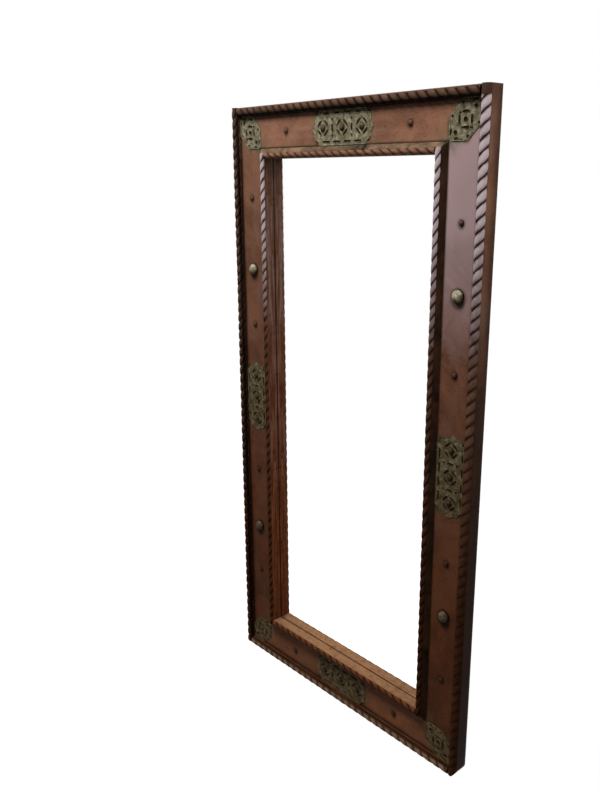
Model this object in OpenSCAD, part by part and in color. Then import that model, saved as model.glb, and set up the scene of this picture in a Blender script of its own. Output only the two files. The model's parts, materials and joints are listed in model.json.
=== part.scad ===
// Tall wall mirror in a copper-clad wooden frame, with rope mouldings and pierced mounts.
// Lengths are in millimetres. Z is up, the face looks towards -Y, and the wall is the plane Y = 0.
// The origin is the middle of the back. Heights inside the frame are measured from the wall.

/* [Frame] */
// Overall width of the frame
mirror_w = 900; // [780:10:1200]
// Overall height of the frame
mirror_h = 1760; // [1500:10:2200]
// Width of the flat copper field between rim and bevel
field_w = 90.6; // [88:0.2:120]
// Width of the bevel that climbs from the field to the inner rope
bevel_w = 11.4; // [6:0.2:16]
// Thickness of the wooden frame boards behind the field
board_t = 31.2; // [28:0.2:45]
// Thickness of the copper sheet
sheet_t = 0.8; // [0.5:0.1:1.5]
// How far the rim stands above the field
rim_rise = 7.2; // [4:0.2:12]
// How far the seat of the inner rope stands above the field
lip_rise = 11.4; // [8:0.2:16]
// Radius of the rounded bottom corners
foot_r = 26; // [12:1:40]

/* [Ropes] */
// Diameter of the outer rope moulding, which is a half round
outer_rope_d = 24.4; // [20:0.2:30]
// Distance from groove to groove along the outer rope
outer_pitch = 27; // [20:0.5:36]
// Depth of the grooves between the strands of the outer rope
outer_groove = 2.8; // [1:0.1:4]
// Diameter of the inner rope moulding, which is a half round
inner_rope_d = 15.5; // [12:0.5:20]
// Distance from groove to groove along the inner rope
inner_pitch = 25; // [16:0.5:32]
// Depth of the grooves between the strands of the inner rope
inner_groove = 1.8; // [0.8:0.1:3]
// Flat left on each side of the inner rope
rope_margin = 0.4; // [0.2:0.1:2]
// Gap where the end of one rope meets the side of the next
rope_gap = 0.3; // [0.1:0.1:1]

/* [Glass and back] */
// Thickness of the mirror glass
glass_t = 5; // [3:0.5:6]
// Thickness of the plywood back panel
panel_t = 5.5; // [4:0.5:9]
// How far the frame laps over the edge of the glass
glass_lap = 10; // [6:1:14]
// Gap round the edge of the glass
glass_play = 1.5; // [0.5:0.5:3]
// How far the panel's rebate reaches past the glass
panel_lap = 14; // [12:1:18]
// Gap round the edge of the panel
panel_play = 0.5; // [0.3:0.1:1]
// Diameter of a panel screw's head
panel_screw_d = 7; // [6:0.5:9]
// Length of a panel screw
panel_screw_len = 18; // [14:1:22]

/* [Corner joints] */
// Thickness of the spline in each mitre
spline_t = 4; // [3:0.5:6]
// Width of the spline across the joint
spline_w = 40; // [24:2:50]
// Length of the spline along the joint
spline_len = 95; // [60:5:100]
// Distance of the spline's end from the outer corner, along the joint
spline_start = 48; // [40:1:56]
// Height of the middle of the spline above the wall
spline_level = 16; // [14:0.5:18]

/* [Mounts and studs] */
// Thickness of the pierced mounts
mount_t = 1.5; // [1:0.1:2.5]
// Gap between a middle mount and the rim, and between it and the bevel
mount_gap = 1.8; // [0.5:0.1:6]
// Length of a middle mount from tip to tip
mount_len = 220; // [200:2:230]
// Gap between the tips of a corner mount and the rim
corner_gap = 0.4; // [0.3:0.1:4]
// Width of a corner mount
corner_w = 74; // [60:1:78]
// Distance between the three nails of a middle mount
nail_pitch = 70; // [60:1:72]
// Diameter of the domed nails in the middle mounts
nail_d = 18; // [12:0.5:20]
// Diameter of the small nails in the corner mounts
brad_d = 7; // [5:0.5:9]
// Diameter of the large dome studs
dome_d = 35; // [28:1:44]
// Height of the large dome studs
dome_h = 14; // [10:0.5:16]
// Width of the thin flange round a large dome stud
dome_flange = 1.3; // [0.8:0.1:2.5]
// Distance of the large dome studs from the middle of the stile
dome_place = 420; // [360:5:450]
// Diameter of the small studs
stud_d = 15; // [10:0.5:20]
// Height of the small studs
stud_h = 5.5; // [4:0.5:7]

/* [Hangers] */
// Height of the hanger pins above the middle of the mirror
hanger_z = 520; // [480:5:540]
// Depth of the pocket in the back of each stile
pocket_depth = 11; // [10:0.5:13]
// Width of the pocket
pocket_w = 48; // [44:1:56]
// Diameter of the wire of the hanging rings
wire_d = 4.5; // [4:0.5:5]
// Distance between the middles of a ring's two legs
ring_w = 32; // [28:1:36]
// Length of the straight legs of a ring
ring_leg = 8; // [4:1:12]
// Thickness of the hanger strap
strap_t = 1.8; // [1.5:0.1:2]
// Width of the hanger strap
strap_w = 18; // [16:1:20]
// Length of the hanger strap below the pin
strap_len = 62; // [56:1:68]

/* [Hidden] */

// Facets of a full circle: in general, for small holes, for larger holes, and for the balls of the caps
$fn = 64;
small_fn = 24;
hole_fn = 32;
ball_fn = 96;

// The four sides, in the order round the frame
BOTTOM = 0;
LEFT = 1;
TOP = 2;
RIGHT = 3;
SIDES = [BOTTOM, LEFT, TOP, RIGHT];

// Kinds of nail and stud on the face
DOME = 0;
STUD = 1;
NAIL = 2;
BRAD = 3;

// Widths across a side, from the outer edge inwards
rim_w = outer_rope_d;
field_end = rim_w + field_w;
seat_start = field_end + bevel_w;
seat_mid = seat_start + rope_margin + inner_rope_d / 2;
face_w = seat_start + 2 * rope_margin + inner_rope_d;
field_mid = rim_w + field_w / 2;
glass_edge = face_w - glass_lap;
panel_edge = glass_edge - panel_lap;

// Heights above the wall
core_h = board_t;
field_h = board_t + sheet_t;
rim_h = field_h + rim_rise;
lip_h = field_h + lip_rise;
glass_front = panel_t + glass_t;

// Corner of the bevel on the underside of the liner sheet
bevel_angle = atan2(lip_rise, bevel_w);
liner_shift = sheet_t * tan(bevel_angle / 2);

// Rope surface: columns round the half circle, strands in the twist and where a strand's shoulder begins
rope_cols = 5;
strands = 2;
shoulder = 0.3;
row_margin = 0.5;
foot_trim = 0.84;

// Fixings: head diameter, head height, shank diameter, shank length under the head's seat, plate under the head,
// width of the head's flange
fixing_sizes = [
    [dome_d, dome_h, 5, 18, 0, dome_flange],
    [stud_d, stud_h, 3, 12, 0, 0],
    [nail_d, 6, 3, 12, mount_t, 0],
    [brad_d, 2.4, 2, 10, mount_t, 0]
];
flange_t = 1;
fixing_play = 0.1;
// How far a shank reaches into its head
head_root = 0.5;

// Middle of each middle mount along its side, to the right or upwards, as it was nailed by hand
mount_places = [0, 21, -6, -31];
// Small studs at the ends of each side, by their distance from the left or lower and the right or upper corner
end_studs = [[239, 233], [300, 252], [227, 229], [271, 293]];
// Small studs between the large ones on the stiles, to the right or upwards of the middle
inner_studs = [[], [-221, 253], [], [-267, 230]];
// Offset of each of a corner mount's two nails from the joint
brad_offset = 23;

// Outline of the mounts: points and lobes of the middle mounts, rounded tips of the corner mounts
tip_len = 28;
lobe_r = 13;
lobe_in = 22;
lobe_place = 20;
corner_tip_r = 11;
mount_w = field_w - 2 * mount_gap;
corner_len = 2 * (corner_tip_r + sqrt(2) * (field_w / 2 - corner_tip_r - corner_gap));

// Piercings of the mounts: curls, bars and dots between the nails, border of slots and bows
curl_half = 34;
curl_w = 5;
nail_curl_r = 17;
bar_len = 16;
bar_w = 4.5;
dot_d = 5;
dot_place = 20;
border_pitch = 38;
border_len = 25;
border_w = 3.6;
border_in = 9;
bow_r = 24;
bow_half = 25;
bow_in = 8;
centre_hole_d = 10;
hole_curl_r = 17;
edge_dot_x = 20;
edge_dot_in = 6;
end_hole_in = 21;
end_hole_x = corner_len / 2 - end_hole_in;
end_hole_d = 9;
end_curl_a = 55;
end_curl_r = 13;
end_curl_half = 26;

// Panel screws along the level and the upright sides
screw_counts = [3, 5, 3, 5];
screw_shank_d = 3.5;
screw_head_h = 3;
screw_sink = 0.3;
screw_play = 0.1;
screw_inset = 30;

// Hanger: running clearance of the pin, step between eye and strap, screws
pin_play = 0.08;
strap_step = 0.5;
hanger_screw_places = [36, 52];
hanger_screw_d = 7.2;
hanger_screw_h = 1.7;
hanger_shank_d = 3.8;
hanger_shank_len = 14;
hanger_in = panel_edge / 2;
eye_r = wire_d / 2 + pin_play + strap_t;
strap_back = eye_r + strap_step;
pin_h = pocket_depth - strap_back;
ring_reach = ring_leg + ring_w / 2 + wire_d / 2;
pocket_r = 8;
pocket_room = 6;

copper = [0.55, 0.35, 0.27];
dark_copper = [0.42, 0.27, 0.21];
verdigris = [0.46, 0.46, 0.35];
old_brass = [0.52, 0.49, 0.39];
oak = [0.55, 0.40, 0.25];
plywood = [0.72, 0.58, 0.40];
steel = [0.60, 0.60, 0.60];

// Length of a side, distance of its outer edge from the middle, and the turn that brings it into place
function side_len(side) = side % 2 == 0 ? mirror_w : mirror_h;
function side_reach(side) = side % 2 == 0 ? mirror_h / 2 : mirror_w / 2;
function side_turn(side) = 90 * side;
// Sign that turns a place to the right or upwards into one along the side
function side_sign(side) = side == BOTTOM || side == RIGHT ? 1 : -1;

// Places of the nails and studs of one side, each as [along the side, in from the outer edge, kind]
function dome_fixings(side) =
    side % 2 == 0 ? [] : [for (s = [-1, 1]) [s * dome_place, field_mid, DOME]];
function stud_fixings(side) = [
    for (end = [0, 1])
        let (place = side_len(side) / 2 - end_studs[side][end])
            [side_sign(side) * (end == 0 ? -place : place), field_mid, STUD],
    for (place = inner_studs[side]) [side_sign(side) * place, field_mid, STUD]
];
function nail_fixings(side) = [
    for (n = [-1:1]) [side_sign(side) * mount_places[side] + n * nail_pitch, field_mid, NAIL]
];
function brad_fixings(side) =
    let (shift = brad_offset / sqrt(2))
        [for (s = [-1, 1]) [s * (side_len(side) / 2 - field_mid - shift), field_mid - shift, BRAD]];
function side_fixings(side) =
    concat(dome_fixings(side), stud_fixings(side), nail_fixings(side), brad_fixings(side));

// Evenly spread places of the panel screws of one side
function screw_places(side) =
    let (half = side_len(side) / 2 - panel_edge - screw_inset, last = screw_counts[side] - 1)
        [for (n = [0:last]) -half + 2 * half * n / last];

// Puts what is drawn for the bottom side, outer edge on the X axis, on any side
module on_side(side) {
    rotate([0, side_turn(side), 0])
        translate([0, 0, -side_reach(side)])
            children();
}

// Puts what is drawn with its tip at the origin and pointing along X on a corner, pointing to the middle
module on_corner(sx, sz) {
    translate([sx * mirror_w / 2, 0, sz * mirror_h / 2])
        rotate([0, atan2(sz, -sx), 0])
            children();
}

// Extrudes a section given as [in from the outer edge, height above the wall] along a side
module along_side(side, section) {
    rotate(a = 180, v = [1, 0, 1])
        linear_extrude(side_len(side), center = true)
            polygon(section);
}

// Extrudes a flat shape, drawn in X and Z, from one height above the wall to another
module standing(from, to) {
    translate([0, -from, 0])
        rotate([90, 0, 0])
            linear_extrude(to - from)
                children();
}

// Flat outline of one side, with mitred ends
module mitre_plan(side) {
    half = side_len(side) / 2;
    polygon([[-half, 0], [half, 0], [half - face_w, face_w], [face_w - half, face_w]]);
}

// Space taken by one side, with mitred ends and, drawn in by the inset, the frame's rounded outline
module side_space(side, inset) {
    intersection() {
        on_side(side) standing(-1, lip_h + 1) mitre_plan(side);
        standing(-1, lip_h + 1) frame_plan(inset);
    }
}

// Outline of the whole frame, with its rounded bottom corners
module frame_plan(inset) {
    half_w = mirror_w / 2 - inset;
    half_h = mirror_h / 2 - inset;
    r = foot_r - inset;
    difference() {
        square([2 * half_w, 2 * half_h], center = true);
        for (s = [-1, 1])
            translate([s * (half_w - r), r - half_h])
                difference() {
                    translate([s < 0 ? -r - 1 : 0, -r - 1]) square(r + 1);
                    circle(r);
                }
    }
}

// Rectangle with rounded corners
module round_rect(w, h, r) {
    square([w - 2 * r, h], center = true);
    square([w, h - 2 * r], center = true);
    for (sx = [-1, 1], sy = [-1, 1])
        translate([sx * (w / 2 - r), sy * (h / 2 - r)]) circle(r);
}

// Peg standing in the face at a height, pointing to the wall
module face_peg(place, in, from, to, d) {
    translate([place, 0, in])
        standing(from, to) circle(d = d);
}

// Holes for the shanks of one side's nails and studs
module fixing_holes(side) {
    for (f = side_fixings(side)) {
        size = fixing_sizes[f[2]];
        face_peg(f[0], f[1], field_h - size[3] - fixing_play, lip_h, size[2] + 2 * fixing_play);
    }
}

// All nails or studs of one kind
module fixings(kind) {
    size = fixing_sizes[kind];
    for (side = SIDES, f = side_fixings(side))
        if (f[2] == kind)
            on_side(side) {
                face_peg(f[0], f[1], field_h - size[3], field_h + size[4] + head_root, size[2]);
                translate([f[0], -field_h - size[4], f[1]])
                    rotate([90, 0, 0]) head(size[0], size[1], size[5]);
            }
}

// Domed head, with a thin flange round its foot where it has one
module head(d, h, flange) {
    cap(d - 2 * flange, h);
    if (flange > 0) cylinder(h = flange_t, d = d);
}

// Part of a ball that stands on the XY plane
module cap(d, h) {
    ball = (d * d / 4 + h * h) / (2 * h);
    intersection() {
        translate([0, 0, h - ball]) sphere(ball, $fn = ball_fn);
        cylinder(h = h + 1, d = d + 1);
    }
}

// Board of one side: rim, flat back of the field, and rebates for glass and panel
module core_board(side) {
    section = [
        [panel_edge, 0],
        [sheet_t, 0],
        [sheet_t, rim_h - sheet_t],
        [rim_w - sheet_t, rim_h - sheet_t],
        [rim_w - sheet_t, core_h],
        [face_w - sheet_t, core_h],
        [face_w - sheet_t, glass_front],
        [glass_edge, glass_front],
        [glass_edge, panel_t],
        [panel_edge, panel_t]
    ];
    color(oak)
        difference() {
            intersection() {
                on_side(side) along_side(side, section);
                side_space(side, sheet_t);
            }
            on_side(side) fixing_holes(side);
            on_side(side)
                for (place = screw_places(side))
                    face_peg(place, glass_edge - panel_lap / 2, 0, panel_screw_len + screw_play,
                        screw_shank_d + 2 * screw_play);
            splines(screw_play);
            if (side % 2 == 1) hanger_pocket(side);
        }
}

// Splines of all four mitres, or with some play the slots that take them
module splines(play = 0) {
    for (sx = [-1, 1], sz = [-1, 1])
        on_corner(sx, sz)
            translate([spline_start - play, -spline_level - spline_t / 2 - play, -spline_w / 2 - play])
                cube([spline_len + 2 * play, spline_t + 2 * play, spline_w + 2 * play]);
}

module mitre_splines() {
    color(plywood) splines();
}

// Strip of wood on the board that raises the bevel and carries the inner rope
module sight_moulding(side) {
    section = [
        [field_end + liner_shift, core_h],
        [seat_start + liner_shift, lip_h - sheet_t],
        [face_w - sheet_t, lip_h - sheet_t],
        [face_w - sheet_t, core_h]
    ];
    color(oak)
        intersection() {
            on_side(side) along_side(side, section);
            side_space(side, sheet_t);
        }
}

// Copper sheet folded over side wall, rim and field
module face_sheet(side) {
    outside = [[0, 0], [0, rim_h], [rim_w, rim_h], [rim_w, field_h], [field_end, field_h], [field_end, 0]];
    inside = [
        [sheet_t, -1],
        [sheet_t, rim_h - sheet_t],
        [rim_w - sheet_t, rim_h - sheet_t],
        [rim_w - sheet_t, core_h],
        [face_w, core_h],
        [face_w, -1]
    ];
    color(copper)
        difference() {
            intersection() {
                on_side(side) along_side(side, outside);
                side_space(side, 0);
            }
            intersection() {
                on_side(side) along_side(side, inside);
                standing(-1, lip_h) frame_plan(sheet_t);
            }
            on_side(side) fixing_holes(side);
        }
}

// Copper sheet folded over bevel, rope seat and reveal
module liner_sheet(side) {
    section = [
        [field_end, core_h],
        [field_end, field_h],
        [seat_start, lip_h],
        [face_w, lip_h],
        [face_w, glass_front],
        [face_w - sheet_t, glass_front],
        [face_w - sheet_t, lip_h - sheet_t],
        [seat_start + liner_shift, lip_h - sheet_t],
        [field_end + liner_shift, core_h]
    ];
    color(dark_copper)
        intersection() {
            on_side(side) along_side(side, section);
            side_space(side, 0);
        }
}

// Radius of the rope at a phase of its twist: whole numbers are grooves
function strand_r(r, groove, phase) =
    let (f = phase - floor(phase))
        r - groove * max(0, 1 - min(f, 1 - f) / shoulder);
// How far the rounded bottom corner reaches in from the outer edge, at a height above the frame's bottom
function foot_in(height) =
    height >= foot_r ? 0 : foot_r - sqrt(foot_r * foot_r - pow(foot_r - height, 2));
// Height at which an upright rope may start, so that most of its width stands on the rim
function foot_start(r) =
    let (in = foot_trim * r)
        in >= foot_r ? 0 : foot_r - sqrt(foot_r * foot_r - pow(foot_r - in, 2));
// Running totals of a list, starting from zero
function totals(list, n = 0, sum = 0) =
    n == len(list) ? [] : concat([sum], totals(list, n + 1, sum + list[n]));

// Half-round rope with its flat side on the XZ plane, running up from the origin. Rows of its surface follow
// the twist, so that each groove is a clean edge, and the middle facets reach the rope's full height.
// A foot side of 1 or -1 follows the rounded bottom corner.
module rope(span, r, groove, pitch, foot_side = 0, foot_z = 0) {
    rise = pitch * strands / 360;
    angles = [for (c = [0:rope_cols]) -90 + 180 * c / rope_cols];
    flat_a = 90 / rope_cols;
    levels = [
        for (n = [-1:ceil(span / pitch) + 1], f = [0, shoulder, 1 - shoulder]) pitch * (n + f)
    ];
    inner = [
        for (a = angles) [for (z = levels) if (z + rise * a > row_margin && z + rise * a < span - row_margin) z]
    ];
    first = [for (col = inner) search([col[0]], levels)[0]];
    counts = [for (col = inner) len(col) + 2];
    starts = totals(counts);
    points = [
        for (c = [0:rope_cols])
            let (a = angles[c])
                for (z = concat([0], [for (z = inner[c]) z + rise * a], [span]))
                    let (
                        proud = abs(a) < flat_a + 1 ? 1 / cos(flat_a) : 1,
                        own_r = strand_r(r, groove, (z - rise * a) / pitch) * proud,
                        edge = r - foot_in(z + foot_z),
                        x = own_r * sin(a)
                    )
                        [foot_side > 0 ? min(x, edge) : foot_side < 0 ? max(x, -edge) : x, -own_r * cos(a), z]
    ];
    hub = foot_side < 0 ? rope_cols : 0;
    faces = concat(
        [for (c = [0:rope_cols - 1]) each strip(starts[c], first[c], counts[c],
            starts[c + 1], first[c + 1], counts[c + 1])],
        [for (c = [0:rope_cols - 1]) if (c != hub && c + 1 != hub) [starts[hub], starts[c], starts[c + 1]]],
        [for (c = [1:rope_cols - 1])
            [starts[0] + counts[0] - 1, starts[c + 1] + counts[c + 1] - 1, starts[c] + counts[c] - 1]],
        flat_side(starts[rope_cols], counts[rope_cols], starts[0], counts[0])
    );
    polyhedron(points, faces, convexity = 6);
}

// Triangles of a rope's flat side, between its right-hand edge and its left-hand edge, which both run up
function flat_side(a, a_count, b, b_count) =
    let (common = min(a_count, b_count) - 1)
        concat(
            [for (n = [0:common - 1]) each [[a + n, a + n + 1, b + n + 1], [a + n, b + n + 1, b + n]]],
            [for (n = [common:1:a_count - 2]) [a + n, a + n + 1, b + b_count - 1]],
            [for (n = [common:1:b_count - 2]) [a + a_count - 1, b + n + 1, b + n]]
        );

// Triangles between two neighbouring columns of a rope. Each column has an end point below and above its rows,
// and the right-hand column's rows lie higher, so the ends are closed by a fan.
function strip(a, a_first, a_count, b, b_first, b_count) =
    let (
        lead = a_first - b_first,
        common = b_count - 2 - lead,
        a_top = a_count - 1,
        b_top = b + b_count - 1
    )
        concat(
            [for (n = [0:lead]) [a, b + n + 1, b + n]],
            [[a, a + 1, b + lead + 1]],
            [for (n = [1:common - 1]) each [
                [a + n, a + n + 1, b + lead + n + 1],
                [a + n, b + lead + n + 1, b + lead + n]
            ]],
            [for (n = [common:a_top - 1]) [a + n, a + n + 1, b_top]],
            [[a + common, b_top, b_top - 1]]
        );

// Upright outer ropes run from the rounded corner to the top, the level ones fit between them
module upright_outer_rope(s) {
    r = outer_rope_d / 2;
    start = foot_start(r);
    color(copper)
        translate([s * (mirror_w / 2 - r), -rim_h, start - mirror_h / 2])
            rope(mirror_h - start, r, outer_groove, outer_pitch, s, start);
}

module level_outer_rope(s) {
    r = outer_rope_d / 2;
    span = mirror_w - 4 * r - 2 * rope_gap;
    color(copper)
        translate([-span / 2, -rim_h, s * (mirror_h / 2 - r)])
            rotate([0, 90, 0]) rope(span, r, outer_groove, outer_pitch);
}

module upright_inner_rope(s) {
    span = mirror_h - 2 * (seat_start + rope_margin);
    color(copper)
        translate([s * (mirror_w / 2 - seat_mid), -lip_h, -span / 2])
            rope(span, inner_rope_d / 2, inner_groove, inner_pitch);
}

module level_inner_rope(s) {
    span = mirror_w - 2 * (seat_start + rope_margin + inner_rope_d + rope_gap);
    color(copper)
        translate([-span / 2, -lip_h, s * (mirror_h / 2 - seat_mid)])
            rotate([0, 90, 0]) rope(span, inner_rope_d / 2, inner_groove, inner_pitch);
}

// Curl with pointed ends, bowed round the origin: radius, half its angle, and width in the middle
module curl(r, half, w) {
    out = r + w / 2;
    low = r - w / 2;
    bow = (out * out - low * low) / (2 * (out * cos(half) - low));
    intersection() {
        circle(out);
        translate([bow, 0]) circle(bow - low);
    }
}

// Four curls pierced round a nail or a hole
module curls(r) {
    for (q = [0:3]) rotate(45 + 90 * q) curl(r, curl_half, curl_w);
}

// Straight slot with round ends
module slot(length, w) {
    square([length - w, w], center = true);
    for (s = [-1, 1]) translate([s * (length - w) / 2, 0]) circle(d = w, $fn = small_fn);
}

// Hole for the shank of a nail
module nail_hole(kind) {
    circle(d = fixing_sizes[kind][2] + 2 * fixing_play, $fn = small_fn);
}

// Outline of a middle mount, with a point and two round lobes at each end
module mount_outline() {
    tip = mount_len / 2;
    straight = tip - tip_len;
    half_w = mount_w / 2;
    polygon([
        [-straight, -half_w], [straight, -half_w], [tip, 0],
        [straight, half_w], [-straight, half_w], [-tip, 0]
    ]);
    for (sx = [-1, 1], sy = [-1, 1])
        translate([sx * (tip - lobe_in), sy * lobe_place]) circle(lobe_r);
}

// Pierced plate of a middle mount: X runs along the side and Y in from the outer edge
module mount_plan() {
    half_w = mount_w / 2;
    difference() {
        mount_outline();
        for (n = [-1:1])
            translate([n * nail_pitch, 0]) {
                nail_hole(NAIL);
                curls(nail_curl_r);
            }
        for (s = [-1, 1])
            translate([s * nail_pitch / 2, 0]) {
                rotate(90) slot(bar_len, bar_w);
                for (t = [-1, 1]) translate([0, t * dot_place]) circle(d = dot_d, $fn = small_fn);
            }
        for (n = [-1.5:1.5]) {
            translate([n * border_pitch, half_w - border_in]) slot(border_len, border_w);
            translate([n * border_pitch, bow_r + bow_in - half_w])
                rotate(-90) curl(bow_r, bow_half, border_w);
        }
    }
}

module middle_mount(side) {
    color(verdigris)
        on_side(side)
            translate([side_sign(side) * mount_places[side], 0, field_mid])
                standing(field_h, field_h + mount_t) mount_plan();
}

// Outline of a corner mount, with rounded ends
module corner_outline() {
    tip = corner_len / 2;
    half_w = corner_w / 2;
    touch_in = corner_tip_r * sin(45);
    touch = tip - corner_tip_r + touch_in;
    straight = touch + touch_in - half_w;
    polygon([
        [-straight, -half_w], [straight, -half_w], [touch, -touch_in], [touch, touch_in],
        [straight, half_w], [-straight, half_w], [-touch, touch_in], [-touch, -touch_in]
    ]);
    for (s = [-1, 1]) translate([s * (tip - corner_tip_r), 0]) circle(corner_tip_r);
}

// Pierced plate of a corner mount: X runs from the outer corner to the middle of the mirror
module corner_plan() {
    difference() {
        corner_outline();
        circle(d = centre_hole_d, $fn = hole_fn);
        curls(hole_curl_r);
        for (s = [-1, 1]) {
            translate([0, s * brad_offset]) nail_hole(BRAD);
            for (t = [-1, 1])
                translate([s * edge_dot_x, t * (corner_w / 2 - edge_dot_in)]) circle(d = dot_d, $fn = small_fn);
            translate([s * end_hole_x, 0]) {
                circle(d = end_hole_d, $fn = hole_fn);
                for (t = [-1, 1]) rotate(90 - s * 90 + t * end_curl_a) curl(end_curl_r, end_curl_half, border_w);
            }
        }
    }
}

module corner_mount(sx, sz) {
    color(verdigris)
        on_corner(sx, sz)
            translate([field_mid * sqrt(2), 0, 0])
                standing(field_h, field_h + mount_t) corner_plan();
}

module mount_nails() {
    color(old_brass) fixings(NAIL);
    color(old_brass) fixings(BRAD);
}

module dome_studs() {
    color(old_brass) fixings(DOME);
}

module small_studs() {
    color(copper) fixings(STUD);
}

module mirror_glass() {
    edge = glass_edge + glass_play;
    color("white")
        standing(panel_t, glass_front)
            square([mirror_w - 2 * edge, mirror_h - 2 * edge], center = true);
}

module backing_panel() {
    edge = panel_edge + panel_play;
    color(plywood)
        difference() {
            standing(0, panel_t)
                square([mirror_w - 2 * edge, mirror_h - 2 * edge], center = true);
            for (side = SIDES, place = screw_places(side))
                on_side(side)
                    translate([place, 0, glass_edge - panel_lap / 2]) panel_screw(screw_play);
        }
}

// Countersunk screw that points away from the wall, or with some play the hole that takes it
module panel_screw(play = 0) {
    head_r = panel_screw_d / 2 + play;
    shank_r = screw_shank_d / 2 + play;
    rotate([90, 0, 0]) {
        translate([0, 0, screw_sink]) cylinder(h = screw_head_h, r1 = head_r, r2 = shank_r);
        translate([0, 0, screw_sink]) cylinder(h = panel_screw_len - screw_sink, r = shank_r);
        if (play > 0) translate([0, 0, -1]) cylinder(h = screw_sink + 1, r = head_r);
    }
}

module panel_screws() {
    color(steel)
        for (side = SIDES, place = screw_places(side))
            on_side(side)
                translate([place, 0, glass_edge - panel_lap / 2]) panel_screw();
}

// Puts what is drawn round a hanger pin on a stile: X along the pin, +Y to the wall, Z up
module on_pin(side) {
    s = side == LEFT ? -1 : 1;
    translate([s * (mirror_w / 2 - hanger_in), -pin_h, hanger_z]) children();
}

// Pocket that takes a hanger and its ring, hanging down or turned up
module hanger_pocket(side) {
    low = -strap_len - pocket_room;
    high = ring_reach + pocket_room;
    on_pin(side)
        translate([0, 0, (low + high) / 2]) {
            translate([0, strap_back, 0])
                rotate([90, 0, 0])
                    linear_extrude(2 * strap_back) round_rect(pocket_w, high - low, pocket_r);
            translate([0, pin_h + 1, 0])
                rotate([90, 0, 0])
                    linear_extrude(pin_h + 1) round_rect(pocket_w, high - low, pocket_r);
        }
    on_pin(side)
        for (drop = hanger_screw_places)
            translate([0, 1 - strap_back, -drop])
                rotate([90, 0, 0]) cylinder(h = hanger_shank_len + 1, d = hanger_shank_d + 2 * screw_play);
}

// Strap with a rolled eye for the ring's bar
module hanger(side) {
    color(steel)
        on_pin(side)
            difference() {
                union() {
                    rotate([0, 90, 0]) cylinder(h = strap_w, r = eye_r, center = true);
                    translate([0, -strap_back + strap_t, 0])
                        rotate([90, 0, 0])
                            linear_extrude(strap_t) {
                                translate([-strap_w / 2, strap_w / 2 - strap_len])
                                    square([strap_w, strap_len - strap_w / 2]);
                                translate([0, strap_w / 2 - strap_len]) circle(d = strap_w);
                            }
                }
                rotate([0, 90, 0]) cylinder(h = strap_w + 2, r = wire_d / 2 + pin_play, center = true);
                for (drop = hanger_screw_places)
                    translate([0, 0, -drop])
                        rotate([90, 0, 0]) cylinder(h = strap_back + 1, d = hanger_shank_d + 2 * screw_play);
            }
}

module hanger_screws() {
    color(steel)
        for (side = [LEFT, RIGHT], drop = hanger_screw_places)
            on_pin(side)
                translate([0, strap_t - strap_back, -drop]) {
                    rotate([90, 0, 0]) cylinder(h = strap_t + hanger_shank_len, d = hanger_shank_d);
                    rotate([-90, 0, 0]) cap(hanger_screw_d, hanger_screw_h);
                }
}

// D ring: a straight bar in the eye, two legs and a round bow, hanging down
module ring(side) {
    half = ring_w / 2;
    r = wire_d / 2;
    color(steel)
        on_pin(side) {
            rotate([0, 90, 0]) cylinder(h = ring_w, r = r, center = true);
            for (s = [-1, 1])
                translate([s * half, 0, 0]) {
                    sphere(r);
                    translate([0, 0, -ring_leg]) cylinder(h = ring_leg, r = r);
                }
            translate([0, 0, -ring_leg])
                rotate([-90, 0, 0])
                    rotate_extrude(angle = 180) translate([half, 0]) circle(r);
        }
}

core_board(TOP);  // top_core_board
core_board(BOTTOM);  // bottom_core_board
core_board(LEFT);  // left_core_board
core_board(RIGHT);  // right_core_board
mitre_splines();
sight_moulding(TOP);  // top_sight_moulding
sight_moulding(BOTTOM);  // bottom_sight_moulding
sight_moulding(LEFT);  // left_sight_moulding
sight_moulding(RIGHT);  // right_sight_moulding
face_sheet(TOP);  // top_face_sheet
face_sheet(BOTTOM);  // bottom_face_sheet
face_sheet(LEFT);  // left_face_sheet
face_sheet(RIGHT);  // right_face_sheet
liner_sheet(TOP);  // top_liner_sheet
liner_sheet(BOTTOM);  // bottom_liner_sheet
liner_sheet(LEFT);  // left_liner_sheet
liner_sheet(RIGHT);  // right_liner_sheet
level_outer_rope(1);  // top_outer_rope
level_outer_rope(-1);  // bottom_outer_rope
upright_outer_rope(-1);  // left_outer_rope
upright_outer_rope(1);  // right_outer_rope
level_inner_rope(1);  // top_inner_rope
level_inner_rope(-1);  // bottom_inner_rope
upright_inner_rope(-1);  // left_inner_rope
upright_inner_rope(1);  // right_inner_rope
middle_mount(TOP);  // top_mount
middle_mount(BOTTOM);  // bottom_mount
middle_mount(LEFT);  // left_mount
middle_mount(RIGHT);  // right_mount
corner_mount(-1, 1);  // top_left_corner_mount
corner_mount(1, 1);  // top_right_corner_mount
corner_mount(-1, -1);  // bottom_left_corner_mount
corner_mount(1, -1);  // bottom_right_corner_mount
mount_nails();
dome_studs();
small_studs();
mirror_glass();
backing_panel();
panel_screws();
hanger(LEFT);  // left_hanger
hanger(RIGHT);  // right_hanger
hanger_screws();
ring(LEFT);  // left_ring
ring(RIGHT);  // right_ring
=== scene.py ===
"""Dresses the tall copper framed wall mirror: copper sheet, rope mouldings, pierced mounts, studs and glass.

Lengths are in metres. The origin is the middle of the back, the wall is the plane Y = 0, the mirror faces -Y
and Z is up. Heights are measured from the wall towards the viewer, so a height h lies at Y = -h.
"""
import json
import logging
import math
from dataclasses import dataclass, field
from enum import Enum
from typing import Sequence

import bmesh
import bpy
from bmesh.types import BMEdge, BMesh, BMFace, BMVert
from bpy.types import Material, Mesh, Node, NodeSocket, NodeTree, Object
from mathutils import Matrix, Vector, noise

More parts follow.
